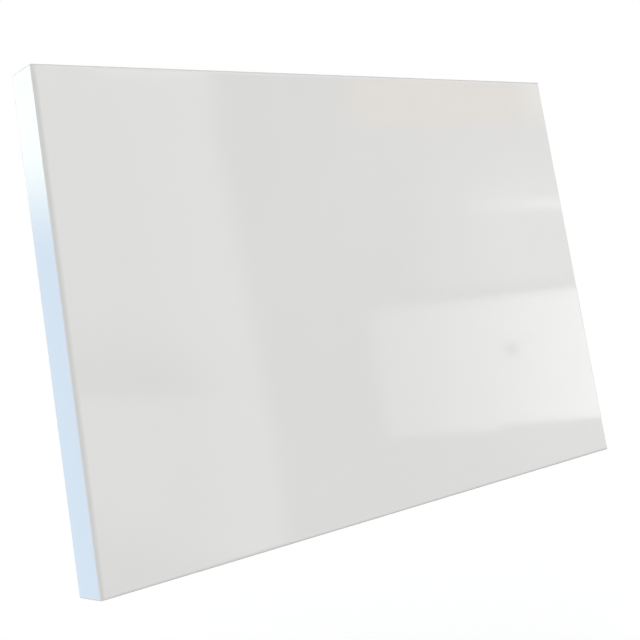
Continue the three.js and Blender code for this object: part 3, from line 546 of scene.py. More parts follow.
def finish(slot):
    """The material of one of the record's slots, made when it is first asked for."""
    colours = bpy.context.scene.heater_colours
    makers = {
        "white_enamel": lambda: gloss_enamel(colours.enamel),
        "galvanised_steel": lambda: galvanised_sheet(colours.zinc),
        "white_powder_coat": lambda: powder_coat(colours.powder),
        "plated_steel": lambda: plated_metal(colours.plated),
        "mica": lambda: pressed_mica(colours.mica),
        "heating_alloy": lambda: oxidised_alloy(colours.alloy),
        "aluminium_foil": lambda: creased_foil(colours.foil),
        "mineral_wool": lambda: pressed_wool(colours.wool),
        "grey_plastic": lambda: moulded_plastic("grey plastic", colours.grey_plastic),
        "white_plastic": lambda: moulded_plastic("white plastic", colours.white_plastic, 3e-6),
        "black_rubber": lambda: moulded_rubber(colours.rubber),
        "brass": lambda: drawn_brass(colours.brass),
        "brown_wire": lambda: wire_sleeve("brown sleeve", colours.brown_wire),
        "blue_wire": lambda: wire_sleeve("blue sleeve", colours.blue_wire),
        "green_wire": lambda: wire_sleeve(
            "striped sleeve", colours.green_wire, colours.yellow_stripe
        ),
        "white_wire": lambda: wire_sleeve("white sleeve", colours.white_wire),
    }
    if slot not in made_finishes:
        made_finishes[slot] = makers[slot]()
    return made_finishes[slot]


# ------------------------------------------------------------------ casing


def casing_profile(sizes):
    """The casing's section from the edge of the warm face round to the edge folded in behind,
    and back along the inside: distance in from the outline, and place along Y."""
    sheet, front, rear = sizes.casing_sheet, sizes.front_bend, sizes.rear_bend
    face, back = FACE_Y, CASING_HIGH.y

    front_turns, rear_turns = quarter_turn(8), quarter_turn(6)

    outside = [
        (front * (1 - math.sin(turn)), face + front * (1 - math.cos(turn))) for turn in front_turns
    ]
    for turn in rear_turns:
        outside.append((rear * (1 - math.cos(turn)), back - rear * (1 - math.sin(turn))))
    outside.append((sizes.rear_edge, back))
    inside = [(sizes.rear_edge, back - sheet)]
    inner = rear - sheet
    for turn in reversed(rear_turns):
        inside.append((rear - inner * math.cos(turn), back - rear + inner * math.sin(turn)))
    inner = front - sheet
    for turn in reversed(front_turns):
        inside.append((front - inner * math.sin(turn), face + front - inner * math.cos(turn)))
    return outside + inside


def casing_loop(inset, y, corner, columns, rows):
    """Points round the casing at a distance in from its outline."""
    low, high = CASING_LOW, CASING_HIGH
    radius = max(corner - inset, 0.0)
    left, right = low.x + inset, high.x - inset
    bottom, top = low.z + inset, high.z - inset
    points = []
    steps = 4
    corners = (
        (right, top, 1, 1), (left, top, -1, 1), (left, bottom, -1, -1), (right, bottom, 1, -1)
    )
    for number, (x, z, along, up) in enumerate(corners):
        for step in range(steps + 1):
            turn = (number + step / steps) * math.pi / 2
            round_x = x - along * radius + radius * math.cos(turn)
            round_z = z - up * radius + radius * math.sin(turn)
            points.append(Vector((round_x, y, round_z)))
        count = columns if number % 2 == 0 else rows
        nx, nz = corners[(number + 1) % 4][:2]
        for step in range(1, count):
            share = step / count
            points.append(Vector((x + (nx - x) * share, y, z + (nz - z) * share)))
    return points


def eased(share):
    """A share from 0 to 1 that starts and ends softly."""
    share = min(1.0, max(0.0, share))
    return share * share * (3 - 2 * share)


# how far in from the folds the waves reach their full depth, and the slice of noise that they take
STIFF_EDGE, WAVE_SLICE = 0.09, 3.7


def wave(x, z, sizes):
    """How far back the pressed face lies at a place; nothing at its edges."""
    low, high = CASING_LOW, CASING_HIGH
    edge = min(x - low.x, high.x - x, z - low.z, high.z - z) - sizes.front_bend
    place = Vector((x / sizes.wave_length, z / sizes.wave_length, WAVE_SLICE))
    return sizes.face_wave * eased(edge / STIFF_EDGE) * (noise.noise(place) + 0.8)


def fill_grid(bm, grid):
    """Puts faces between the points of a grid."""
    for here, there in zip(grid, grid[1:]):
        for i in range(len(here) - 1):
            bm.faces.new((here[i], here[i + 1], there[i + 1], there[i]))


def face_sheet(bm, y, sizes, columns, rows):
    """The flat of the warm face as a grid that the bend's first loop meets."""
    low, high, inset = CASING_LOW, CASING_HIGH, sizes.front_bend
    grid = []
    for row in range(rows + 1):
        z = low.z + inset + (high.z - low.z - 2 * inset) * row / rows
        line = []
        for column in range(columns + 1):
            x = low.x + inset + (high.x - low.x - 2 * inset) * column / columns
            line.append(bm.verts.new(Vector((x, y + wave(x, z, sizes), z))))
        grid.append(line)
    fill_grid(bm, grid)


def mitre_cuts(sizes):
    """Thin blades that part the folded-in edges at the four corners."""
    bm = bmesh.new()
    half = sizes.mitre_gap / 2
    start, stop = sizes.rear_bend * 1.15, sizes.rear_edge + 0.004
    low_y, high_y = CASING_HIGH.y - 2 * sizes.casing_sheet, CASING_HIGH.y + sizes.casing_sheet
    for x, z, right, up in (
        (CASING_LOW.x, CASING_LOW.z, 1, 1),
        (CASING_HIGH.x, CASING_LOW.z, -1, 1),
        (CASING_LOW.x, CASING_HIGH.z, 1, -1),
        (CASING_HIGH.x, CASING_HIGH.z, -1, -1),
    ):
        along = Vector((right, 0, up))
        across = Vector((right, 0, -up)).normalized() * half
        near = Vector((x, 0, z)) + along * start
        far = Vector((x, 0, z)) + along * stop
        outline = (near - across, far - across, far + across, near + across)
        loft(bm, [[point + Vector((0, y, 0)) for point in outline] for y in (low_y, high_y)])
    return bm


class INFRARED_OT_casing(bpy.types.Operator):
    """Folds the casing from one sheet, with soft bends, ground corners and mitred rear edges"""

    bl_idname = "infrared_heater.casing"
    bl_label = "Casing"
    bl_options = {"REGISTER", "UNDO"}

    def execute(self, context):
        sizes = context.scene.heater_sizes
        columns, rows = 60, 40
        profile = casing_profile(sizes)
        loops = [casing_loop(inset, y, sizes.casing_corner, columns, rows) for inset, y in profile]
        bm = loft(bmesh.new(), loops, capped=False)
        face_sheet(bm, FACE_Y, sizes, columns, rows)
        face_sheet(bm, FACE_Y + sizes.casing_sheet, sizes, columns, rows)
        mesh = worked("casing_folded", bm, cuts=mitre_cuts(sizes), sharp=50)
        placed("casing_folded", mesh, PANEL, "white_enamel", ["casing"])
        return {"FINISHED"}


# ------------------------------------------------------------------ back cover and fasteners


def across_sheet(places, radius, low_y, high_y, bm=None, sides=DRILL_SIDES):
    """Drills along Y at those places."""
    bm = bm or bmesh.new()
    for place in places:
        turned([(radius, low_y), (radius, high_y)], (place.x, 0, place.z), sides=sides, bm=bm)
    return bm


class INFRARED_OT_back_cover(bpy.types.Operator):
    """Makes the galvanised back cover with its round corners and its holes"""

    bl_idname = "infrared_heater.back_cover"
    bl_label = "Back Cover"
    bl_options = {"REGISTER", "UNDO"}

    def execute(self, context):
        sizes = context.scene.heater_sizes
        low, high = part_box("back_cover")
        centre = (low + high) / 2
        loops = [
            rounded_rectangle(high.x - low.x, high.z - low.z, 0.004, centre, y, 8)
            for y in (low.y, high.y)
        ]
        bm = loft(bmesh.new(), loops)
        reach = (low.y - PAST, high.y + PAST)
        screws = [middle_of(f"cover_screw_{i}") for i in range(1, COVER_SCREWS + 1)]
        rivets = [middle_of(f"hanger_rivet_{row}_{side}") for row in ROWS for side in SIDES]
        rivets += [middle_of(f"box_rivet_{row}") for row in ROWS]
        bumpers = [middle_of(f"wall_bumper_{side}") for side in SIDES]
        cuts = across_sheet(screws, SCREW_HOLE, *reach)
        across_sheet(rivets, RIVET_HOLE, *reach, bm=cuts)
        across_sheet(bumpers, BUMPER_HOLE, *reach, bm=cuts)
        across_sheet([middle_of("wire_grommet")], WIRE_HOLE, *reach, bm=cuts)
        mesh = worked("back_cover_sheet", bm, cuts=cuts, edge=sizes.cut_edge)
        placed("back_cover_sheet", mesh, PANEL, "galvanised_steel", ["back_cover"])
        return {"FINISHED"}


# how far a pressed head sinks into the sheet under it
HEAD_SINK = 0.0003
RIVET_SHANK, RIVET_HEAD, RIVET_HEIGHT = 0.002, 0.0038, 0.0012


def cross_recess(reach, width, top, depth):
    """A tapered cross, for the recess of a screw head."""
    loops = []
    for shrink, down in ((1.08, -0.2), (1.0, 0), (0.62, 0.75), (0.3, 1)):
        y = top - depth * down
        arm, half = reach * shrink, width / 2 * (0.6 + 0.4 * shrink)
        half = min(half, arm * 0.8)
        points = (
            (arm, half), (half, half), (half, arm), (-half, arm), (-half, half), (-arm, half),
            (-arm, -half), (-half, -half), (-half, -arm), (half, -arm), (half, -half), (arm, -half),
        )
        loops.append([Vector((x, y, z)) for x, z in points])
    return loft(bmesh.new(), loops)


def screw_mesh(name, head, crown, shank, tip):
    """A pan-head screw along Y, by the radii of its head and shank, how far its crown stands over
    the sheet and how far its tip lies under it."""
    profile = [(0, crown), (head * 0.3, crown)]
    for turn in quarter_turn(7)[1:]:
        radius = head * (0.45 + 0.55 * math.sin(turn))
        profile.append((radius, crown * (0.35 + 0.65 * math.cos(turn) ** 0.8)))
    profile += [(head, crown * 0.1), (head * 0.97, -HEAD_SINK), (shank, -HEAD_SINK)]
    pitch = shank * 0.75
    for turn in range(int((tip - shank * 2) / pitch)):
        y = -2 * HEAD_SINK - pitch * turn
        profile += [(shank, y - pitch * 0.35), (shank * 0.78, y - pitch * 0.8)]
    profile += [(shank * 0.7, -tip + shank * 1.2), (0, -tip)]
    recess = cross_recess(head * 0.56, head * 0.27, crown, crown * 0.62)
    return worked(name, turned(profile), cuts=recess)


def place_screws(family, count, head, crown, shank):
    """Puts a pan-head screw in the place of each screw of a family."""
    low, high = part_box(f"{family}_1")
    seat_y = high.y - crown
    mesh = screw_mesh(f"{family}_mesh", head, crown, shank, seat_y - low.y)
    for number in range(1, count + 1):
        node = f"{family}_{number}"
        centre = middle_of(node)
        place = (centre.x, seat_y, centre.z)
        placed(f"{node}_cross", mesh, PANEL, "plated_steel", [node], place)


def blind_rivet_mesh(name, length):
    """A blind rivet along Y: a domed head round its pulled pin, and a set bulb at the other end."""
    top, end = length / 2, -length / 2
    seat = top - RIVET_HEIGHT
    pin = RIVET_SHANK * 0.62
    hollow = seat + RIVET_HEIGHT * 0.25
    profile = [(0, hollow), (RIVET_SHANK * 0.42, hollow)]
    profile += [(RIVET_SHANK * 0.5, top - RIVET_HEIGHT * 0.05), (pin, top)]
    for turn in quarter_turn(6)[1:]:
        radius = pin + (RIVET_HEAD - pin) * math.sin(turn)
        profile.append((radius, seat + RIVET_HEIGHT * math.cos(turn) ** 0.9))
    bulb = RIVET_SHANK * 1.5
    profile += [(RIVET_HEAD * 0.97, seat - HEAD_SINK), (RIVET_SHANK, seat - HEAD_SINK)]
    profile += [(RIVET_SHANK, end + RIVET_HEIGHT), (bulb, end + RIVET_HEIGHT * 0.8)]
    profile += [(bulb, end + RIVET_HEIGHT * 0.35), (RIVET_SHANK, end), (0, end)]
    return worked(name, turned(profile))


def flush_rivet_mesh(name, length):
    """A rivet along Y that is set flush at its far end, so that the rail lies flat on the wall."""
    front, back = -length / 2, length / 2
    seat = front + RIVET_HEIGHT + HEAD_SINK
    profile = [(0, front), (RIVET_HEAD * 0.35, front + RIVET_HEIGHT * 0.04)]
    for turn in quarter_turn(6)[1:]:
        radius = RIVET_HEAD * (0.35 + 0.65 * math.sin(turn))
        profile.append((radius, front + RIVET_HEIGHT * (1 - math.cos(turn))))
    profile += [(RIVET_HEAD * 0.97, seat), (RIVET_SHANK, seat)]
    profile += [(RIVET_SHANK, back - 0.0001), (RIVET_SHANK * 0.94, back), (0, back)]
    return worked(name, turned(profile))


class INFRARED_OT_cover_screws(bpy.types.Operator):
    """Makes the ten sheet screws that hold the back cover"""

    bl_idname = "infrared_heater.cover_screws"
    bl_label = "Cover Screws"
    bl_options = {"REGISTER", "UNDO"}

    def execute(self, context):
        place_screws("cover_screw", COVER_SCREWS, head=0.0036, crown=0.002, shank=0.0016)
        return {"FINISHED"}


class INFRARED_OT_rivets(bpy.types.Operator):
    """Makes the blind rivets of the hanger rails and the flush rivets of the wall frame"""

    bl_idname = "infrared_heater.rivets"
    bl_label = "Rivets"
    bl_options = {"REGISTER", "UNDO"}

    def execute(self, context):
        for family, body, made in (
            ("hanger", PANEL, blind_rivet_mesh), ("wall", WALL_FRAME, flush_rivet_mesh)
        ):
            low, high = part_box(f"{family}_rivet_upper_left")
            mesh = made(f"{family}_rivet_mesh", high.y - low.y)
            for row in ROWS:
                for side in SIDES:
                    node = f"{family}_rivet_{row}_{side}"
                    placed(f"{node}_domed", mesh, body, "plated_steel", [node], middle_of(node))
        return {"FINISHED"}


# ------------------------------------------------------------------ rails and wall frame


class INFRARED_OT_hanger_rails(bpy.types.Operator):
    """Folds the two hanger rails that are riveted to the back cover"""

    bl_idname = "infrared_heater.hanger_rails"
    bl_label = "Hanger Rails"
    bl_options = {"REGISTER", "UNDO"}

    def execute(self, context):
        sizes = context.scene.heater_sizes
        half = sizes.rail_sheet / 2
        for row in ROWS:
            node = f"hanger_rail_{row}"
            low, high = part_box(node)
            shelf = high.z - sizes.rail_web + half
            corners = [
                (low.y + half, high.z),
                (low.y + half, shelf),
                (high.y - half, shelf),
                (high.y - half, low.z),
            ]
            outline = folded(corners, sizes.rail_sheet, sizes.rail_bend)
            bm = drawn_along_x(outline, low.x, high.x)
            rivets = [middle_of(f"hanger_rivet_{row}_{side}") for side in SIDES]
            cuts = across_sheet(rivets, RIVET_HOLE, low.y - PAST, low.y + 0.006)
            mesh = worked(f"{node}_folded", bm, cuts=cuts, edge=sizes.cut_edge)
            placed(f"{node}_folded", mesh, PANEL, "galvanised_steel", [node])
        return {"FINISHED"}


def long_hole(bm, x, z, width, height, low_y, high_y):
    """Cuts a slot with round ends."""
    radius = height / 2 * 0.999
    ends = (low_y, high_y)
    return loft(bm, [rounded_rectangle(width, height, radius, (x, 0, z), y, 8) for y in ends])


# the middle notch that parts a wall rail's two hooks, and the slots for the wall screws
NOTCH_END = 0.13
SLOT_PLACE, SLOT_SIZE = 0.23, (0.02, 0.0065)


class INFRARED_OT_wall_frame(bpy.types.Operator):
    """Makes the wall frame: two slotted hook rails on two uprights"""

    bl_idname = "infrared_heater.wall_frame"
    bl_label = "Wall Frame"
    bl_options = {"REGISTER", "UNDO"}

    def execute(self, context):
        sizes = context.scene.heater_sizes
        half = sizes.rail_sheet / 2
        for row in ROWS:
            node = f"wall_rail_{row}"
            low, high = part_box(node)
            middle = low.z + sizes.rail_web / 2
            shelf = low.z + sizes.rail_web - half
            corners = [
                (high.y - half, low.z),
                (high.y - half, shelf),
                (low.y + half, shelf),
                (low.y + half, high.z),
            ]
            outline = folded(corners, sizes.rail_sheet, sizes.rail_bend)
            bm = drawn_along_x(outline, low.x, high.x)
            reach = (high.y - PAST, high.y + PAST)
            foot = shelf + half - sizes.rail_sheet - sizes.rail_bend
            cuts = box_of(
                (-NOTCH_END, low.y - PAST, foot), (NOTCH_END, high.y + PAST, high.z + PAST)
            )
            for x in (-SLOT_PLACE, SLOT_PLACE):
                long_hole(cuts, x, middle, *SLOT_SIZE, *reach)
            rivets = [middle_of(f"wall_rivet_{row}_{side}") for side in SIDES]
            across_sheet(rivets, RIVET_HOLE, *reach, bm=cuts)
            mesh = worked(f"{node}_folded", bm, cuts=cuts, edge=sizes.cut_edge)
            placed(f"{node}_folded", mesh, WALL_FRAME, "white_powder_coat", [node])
        for side in SIDES:
            node = f"wall_upright_{side}"
            low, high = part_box(node)
            centre = (low + high) / 2
            loops = [
                rounded_rectangle(high.x - low.x, high.z - low.z, 0.0015, centre, y)
                for y in (low.y, high.y)
            ]
            rivets = [middle_of(f"wall_rivet_{row}_{side}") for row in ROWS]
            cuts = across_sheet(rivets, RIVET_HOLE, low.y - PAST, high.y + PAST)
            mesh = worked(f"{node}_flat", loft(bmesh.new(), loops), cuts=cuts, edge=sizes.cut_edge)
            placed(f"{node}_flat", mesh, WALL_FRAME, "white_powder_coat", [node])
        return {"FINISHED"}


# ------------------------------------------------------------------ junction box and gland


def box_loop(low, high, inset, y, corner, steps=8):
    """Points round a moulded box at a distance in from its outline."""
    radius = max(corner - inset, 0.0005)
    centre = (low + high) / 2
    width, height = high.x - low.x - 2 * inset, high.z - low.z - 2 * inset
    return rounded_rectangle(width, height, radius, centre, y, steps)


class INFRARED_OT_junction_box(bpy.types.Operator):
    """Makes the junction box: a rimmed base, its stepped lid and the lid's four screws"""

    bl_idname = "infrared_heater.junction_box"
    bl_label = "Junction Box"
    bl_options = {"REGISTER", "UNDO"}

    def execute(self, context):
        low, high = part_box("box_base")
        corner, wall, floor = 0.005, 0.002, low.y + 0.002
        rim = high.y - 0.0028
        stages = [
            (0.0013, low.y - 0.0003), (0.0007, low.y - 0.0001), (0.0005, low.y + 0.0006),
            (0.0003, rim - 0.0003), (0.0, rim), (0.0, high.y - 0.0003), (0.0003, high.y),
            (wall, high.y), (wall + 0.0002, floor + 0.0006), (wall + 0.0008, floor),
        ]
        bm = loft(bmesh.new(), [box_loop(low, high, inset, y, corner) for inset, y in stages])
        screws = [middle_of(f"lid_screw_{i}") for i in range(1, LID_SCREWS + 1)]
        bosses, cuts = bmesh.new(), bmesh.new()
        boss = [
            (0, floor - 0.001), (0.0042, floor - 0.001), (0.0039, high.y - 0.0002),
            (0.0037, high.y), (0, high.y),
        ]
        for place in screws:
            turned(boss, (place.x, 0, place.z), bm=bosses)
        across_sheet(screws, 0.0012, floor + 0.001, high.y + PAST, cuts, SMALL_SIDES)
        gland = middle_of("gland_body")
        entry = [(WIRE_HOLE, low.z - PAST), (WIRE_HOLE, low.z + 0.006)]
        turned(entry, (gland.x, gland.y, 0), "z", bm=cuts)
        through = (low.y - PAST, floor + 0.006, cuts, SMALL_SIDES)
        across_sheet([middle_of("wire_grommet")], WIRE_HOLE, *through)
        across_sheet([middle_of(f"box_rivet_{row}") for row in ROWS], RIVET_HOLE, *through)
        mesh = worked("box_base_moulded", bm, cuts=cuts, adds=bosses)
        placed("box_base_moulded", mesh, PANEL, "grey_plastic", ["box_base"])

        low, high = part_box("box_lid")
        stages = [
            (0.0002, low.y), (0.0, low.y + 0.0002), (0.0, high.y - 0.0009),
            (0.0002, high.y - 0.0004), (0.0006, high.y - 0.0001), (0.0012, high.y),
            (0.0108, high.y), (0.0111, high.y - 0.0001), (0.0113, high.y - 0.0004),
            (0.0116, high.y - 0.0005),
        ]
        bm = loft(bmesh.new(), [box_loop(low, high, inset, y, corner) for inset, y in stages])
        cuts = across_sheet(screws, 0.0015, low.y - PAST, high.y + PAST)
        mesh = worked("box_lid_stepped", bm, cuts=cuts)
        placed("box_lid_stepped", mesh, PANEL, "grey_plastic", ["box_lid"])

        place_screws("lid_screw", LID_SCREWS, head=0.003, crown=0.0012, shank=0.0011)
        return {"FINISHED"}


def crowned(small, full, start, stop, steps=7):
    """Levels of the turned chamfer on a hexagon's end: from small to full between two heights."""
    shares = [step / steps for step in range(steps + 1)]
    return [(small + (full - small) * share, start + (stop - start) * share) for share in shares]


def hexagonal(levels, across_flats, centre, sides=120):
    """Loops round a Z axis: a hexagon with corners along X, cut off round at each level's limit."""
    apothem = across_flats / 2
    loops = []
    for limit, z in levels:
        loop = []
        for i in range(sides):
            turn = 2 * math.pi * i / sides
            flat = apothem / math.cos(turn % (math.pi / 3) - math.pi / 6)
            radius = min(flat, limit)
            x, y = centre[0] + radius * math.cos(turn), centre[1] + radius * math.sin(turn)
            loop.append(Vector((x, y, z)))
        loops.append(loop)
    return loops


def threads(radius, pitch, z, stop):
    """Levels of a thread's turns, from z up to stop."""
    levels = []
    while z + pitch < stop:
        root, crest = radius - 0.0006, radius
        levels += [(root, z + pitch * 0.3), (crest, z + pitch * 0.7), (crest, z + pitch * 0.8)]
        z += pitch
    return levels


class INFRARED_OT_cord_gland(bpy.types.Operator):
    """Makes the cord gland: a threaded body with a hexagon, and its domed nut"""

    bl_idname = "infrared_heater.cord_gland"
    bl_label = "Cord Gland"
    bl_options = {"REGISTER", "UNDO"}

    def execute(self, context):
        flats, full, chamfer = 0.015, 0.0088, 0.0073
        bore, thread, pitch = 0.0043, 0.006, 0.0015
        low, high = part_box("gland_body")
        centre = middle_of("gland_body")
        hex_low, hex_high = low.z + 0.011, low.z + 0.016
        levels = [
            (bore, low.z), (thread - 0.0005, low.z), (thread, low.z + 0.0005),
            *threads(thread, pitch, low.z + 0.0008, hex_low - 0.0004),
            (thread, hex_low), *crowned(chamfer, full, hex_low, hex_low + 0.0009),
            *crowned(full, chamfer, hex_high - 0.0009, hex_high), (thread, hex_high),
            *threads(thread, pitch, hex_high + 0.0004, high.z - 0.0004),
            (thread, high.z - 0.0005), (thread - 0.0005, high.z), (bore, high.z),
        ]
        bm = loft(bmesh.new(), hexagonal(levels, flats, centre), closed=True)
        mesh = worked("gland_body_threaded", bm)
        placed("gland_body_threaded", mesh, PANEL, "grey_plastic", ["gland_body"])

        low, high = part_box("gland_nut")
        mouth, socket = 0.0033, 0.0063
        levels = [
            (mouth, low.z + 0.0006), (mouth + 0.0003, low.z + 0.0001), (mouth + 0.0009, low.z),
            (mouth + 0.0014, low.z + 0.0002), (mouth + 0.0023, low.z + 0.0008),
            (0.0064, low.z + 0.0017), (0.0070, low.z + 0.0029), (0.0073, low.z + 0.0045),
            *crowned(0.0076, full, low.z + 0.0053, low.z + 0.0062),
            *crowned(full, chamfer, high.z - 0.0009, high.z),
            (socket, high.z), (socket, low.z + 0.0026), (mouth, low.z + 0.0026),
        ]
        bm = loft(bmesh.new(), hexagonal(levels, flats, centre), closed=True)
        mesh = worked("gland_nut_domed", bm)
        placed("gland_nut_domed", mesh, PANEL, "grey_plastic", ["gland_nut"])
        return {"FINISHED"}


class INFRARED_OT_bumpers(bpy.types.Operator):
    """Makes the two rubber bumpers that meet the wall"""

    bl_idname = "infrared_heater.bumpers"
    bl_label = "Wall Bumpers"
    bl_options = {"REGISTER", "UNDO"}

    def execute(self, context):
        low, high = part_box("wall_bumper_left")
        seat, barb, tip = 0.024, 0.0253, high.y - low.y
        profile = [
            (0, 0.0012), (0.0020, 0.0011), (0.0028, 0.0004), (0.0034, 0.0001), (0.0044, 0.0),
            (0.0058, 0.0002), (0.0066, 0.0008), (0.0070, 0.0018), (0.0074, 0.0050),
            (0.0093, 0.0190), (0.0091, 0.0196), (0.0091, 0.0204), (0.0095, 0.0210),
            (0.0099, 0.0220), (0.0099, 0.0234), (0.0095, seat), (0.0030, seat), (0.0030, barb),
            (0.0044, barb), (0.0044, barb + 0.0003), (0.0030, tip), (0, tip),
        ]
        bm = turned([(radius, -out) for radius, out in profile], sides=ROUND_SIDES)
        mesh = worked("wall_bumper_mesh", bm)
        for side in SIDES:
            node = f"wall_bumper_{side}"
            centre = middle_of(node)
            place = (centre.x, high.y, centre.z)
            placed(f"{node}_dimpled", mesh, PANEL, "black_rubber", [node], place)
        return {"FINISHED"}


class INFRARED_OT_finishes(bpy.types.Operator):
    """Gives each solid that keeps its own shape the finish of its slot"""

    bl_idname = "infrared_heater.finishes"
    bl_label = "Finishes of the Inner Parts"
    bl_options = {"REGISTER", "UNDO"}

    def execute(self, context):
        slots = {part["node"]: part["material_slot"] for part in frame["record"]["subparts"]}
        for name, node in frame["nodes"].items():
            material = finish(slots[name])
            if not node.material_slots:
                node.data.materials.append(material)
            for place in node.material_slots:
                place.material = material
        return {"FINISHED"}


# ------------------------------------------------------------------ stage


# the photograph's viewpoint, found from the six corners that it shows: place in metres, turns in
# degrees, and the shift that frames the picture
CAMERA_PLACE = (-1.01750, -1.20979, -0.21604)
CAMERA_TURNS = (97.28218, 9.05472, -38.14442)
CAMERA_SHIFT = (0.0313, -0.1797)
SENSOR_WIDTH = 36


def add_camera(stage):
    """Puts the camera at the photograph's viewpoint."""
    data = bpy.data.cameras.new("camera")
    data.sensor_width = SENSOR_WIDTH
    data.lens = stage.lens
    data.shift_x, data.shift_y = CAMERA_SHIFT
    camera = bpy.data.objects.new("camera", data)
    camera.location = CAMERA_PLACE
    camera.rotation_euler = Euler([math.radians(angle) for angle in CAMERA_TURNS])
    bpy.context.scene.collection.objects.link(camera)
    bpy.context.scene.camera = camera
    bpy.context.view_layer.update()
    return camera


def mirrored(camera, pixel, surface, normal, distance):
    """Where the reflection that shows at a pixel of the square picture meets a plane that lies
    distance in front of the surface."""
    data = camera.data
    focal = data.lens / data.sensor_width * IMAGE_SIDE
    right = pixel[0] - IMAGE_SIDE * (0.5 - data.shift_x)
    down = pixel[1] - IMAGE_SIDE * (0.5 + data.shift_y)
    ray = camera.matrix_world.to_3x3() @ Vector((right, -down, -focal))
    start = camera.matrix_world.translation
    hit = start + ray * ((surface - start).dot(normal) / ray.dot(normal))
    back = ray - 2 * ray.dot(normal) * normal
    return hit + back * (distance / back.dot(normal))


def ends_at(rows, height):
    """The left and right end, at a height in the picture, of a card whose ends run through rows."""
    for upper, lower in zip(rows, rows[1:]):
        share = (height - upper[0][1]) / (lower[0][1] - upper[0][1])
        if share <= 1:
            break
    return [Vector(one).lerp(Vector(other), share) for one, other in zip(upper, lower)]


def glowing(name, light):
    """The material of a staged sheet, whose points say how much it covers and glows."""
    material = bpy.data.materials.new(name)
    material.use_nodes = True
    tree = material.node_tree
    tree.nodes.clear()
    cover, glow = (
        add_node(tree, "ShaderNodeAttribute", {}, attribute_name=layer).outputs["Fac"]
        for layer in ("cover", "glow")
    )
    clear = add_node(tree, "ShaderNodeBsdfTransparent", {})
    lit = add_node(tree, "ShaderNodeEmission", {"Color": (*light, 1), "Strength": glow})
    inputs = {0: cover, 1: clear.outputs[0], 2: lit.outputs[0]}
    mix = add_node(tree, "ShaderNodeMixShader", inputs)
    add_node(tree, "ShaderNodeOutputMaterial", {"Surface": mix.outputs[0]})
    return material


def add_grid(name, place, light, cover=None, glow=None, steps=28):
    """A glowing sheet that only shows in reflections. The place, cover and glow of each point
    come from its shares across and down; an uncovered point is clear."""
    bm = bmesh.new()
    cover_layer = bm.verts.layers.float.new("cover")
    glow_layer = bm.verts.layers.float.new("glow")
    grid = []
    for row in range(steps + 1):
        line = []
        for column in range(steps + 1):
            across, down = column / steps, row / steps
            vertex = bm.verts.new(place(across, down))
            vertex[cover_layer] = cover(across, down) if cover else 1.0
            vertex[glow_layer] = glow(across) if glow else 1.0
            line.append(vertex)
        grid.append(line)
    fill_grid(bm, grid)
    mesh = bpy.data.meshes.new(name)
    bm.to_mesh(mesh)
    bm.free()
    sheet = bpy.data.objects.new(name, mesh)
    bpy.context.scene.collection.objects.link(sheet)
    mesh.materials.append(glowing(name, light))
    for hidden in ("visible_camera", "visible_diffuse", "visible_transmission", "visible_shadow"):
        setattr(sheet, hidden, False)


def add_card(camera, name, surface, distance, light, glow, rows, soft):
    """A card in front of a surface. Its rows say where its left and right ends show in the
    picture, from the top down. Its glow changes from left to right, and it fades out over soft
    shares of its width and height: left, right, top and bottom."""
    top, bottom = rows[0][0][1], rows[-1][0][1]

    def place(across, down):
        left, right = ends_at(rows, top + (bottom - top) * down)
        return mirrored(camera, left.lerp(right, across), *surface, distance)

    def cover(across, down):
        amount = 1.0
        for share, width in zip((across, 1 - across, down, 1 - down), soft):
            if width > 0:
                amount *= eased(share / width)
        return amount

    def ramp(across):
        return glow[0] + (glow[1] - glow[0]) * eased(across)

    add_grid(name, place, light, cover, ramp)


def add_flag(name, corner, along, down, grey):
    """A dark sheet over or under the panel. The rounded edges of white enamel reflect it, which
    draws their outline on a white ground."""
    corner, along, down = Vector(corner), Vector(along), Vector(down)
    add_grid(name, lambda u, v: corner + along * u + down * v, (grey, grey, grey), steps=1)


def add_sun(name, toward, strength, tint, softness):
    """A far lamp that shines from the toward side, as wide as softness degrees, and that the gloss
    doesn't reflect."""
    data = bpy.data.lights.new(name, "SUN")
    data.energy = strength
    data.color = tint
    data.angle = math.radians(softness)
    lamp = bpy.data.objects.new(name, data)
    lamp.rotation_euler = Vector(toward).to_track_quat("Z", "Y").to_euler()
    lamp.visible_glossy = False
    bpy.context.scene.collection.objects.link(lamp)


def seen_directly(tree):
    """1 where the camera sees a thing itself, in a reflection or through glass."""
    rays = add_node(tree, "ShaderNodeLightPath", {}).outputs
    seen = rays["Is Camera Ray"]
    for ray in ("Is Glossy Ray", "Is Transmission Ray"):
        inputs = {0: seen, 1: rays[ray]}
        seen = add_node(tree, "ShaderNodeMath", inputs, operation="MAXIMUM").outputs[0]
    return seen


def set_world(stage):
    """Even grey light from all round, and plain white where the world itself is seen."""
    world = bpy.data.worlds.new("studio")
    bpy.context.scene.world = world
    world.use_nodes = True
    tree = world.node_tree
    tree.nodes.clear()
    lit, white = (
        add_node(tree, "ShaderNodeBackground", {"Color": (1, 1, 1, 1), "Strength": strength})
        for strength in (stage.ambient, 1.0)
    )
    inputs = {0: seen_directly(tree), 1: lit.outputs[0], 2: white.outputs[0]}
    mix = add_node(tree, "ShaderNodeMixShader", inputs)
    add_node(tree, "ShaderNodeOutputWorld", {"Surface": mix.outputs[0]})


FLOOR_REACH = 20


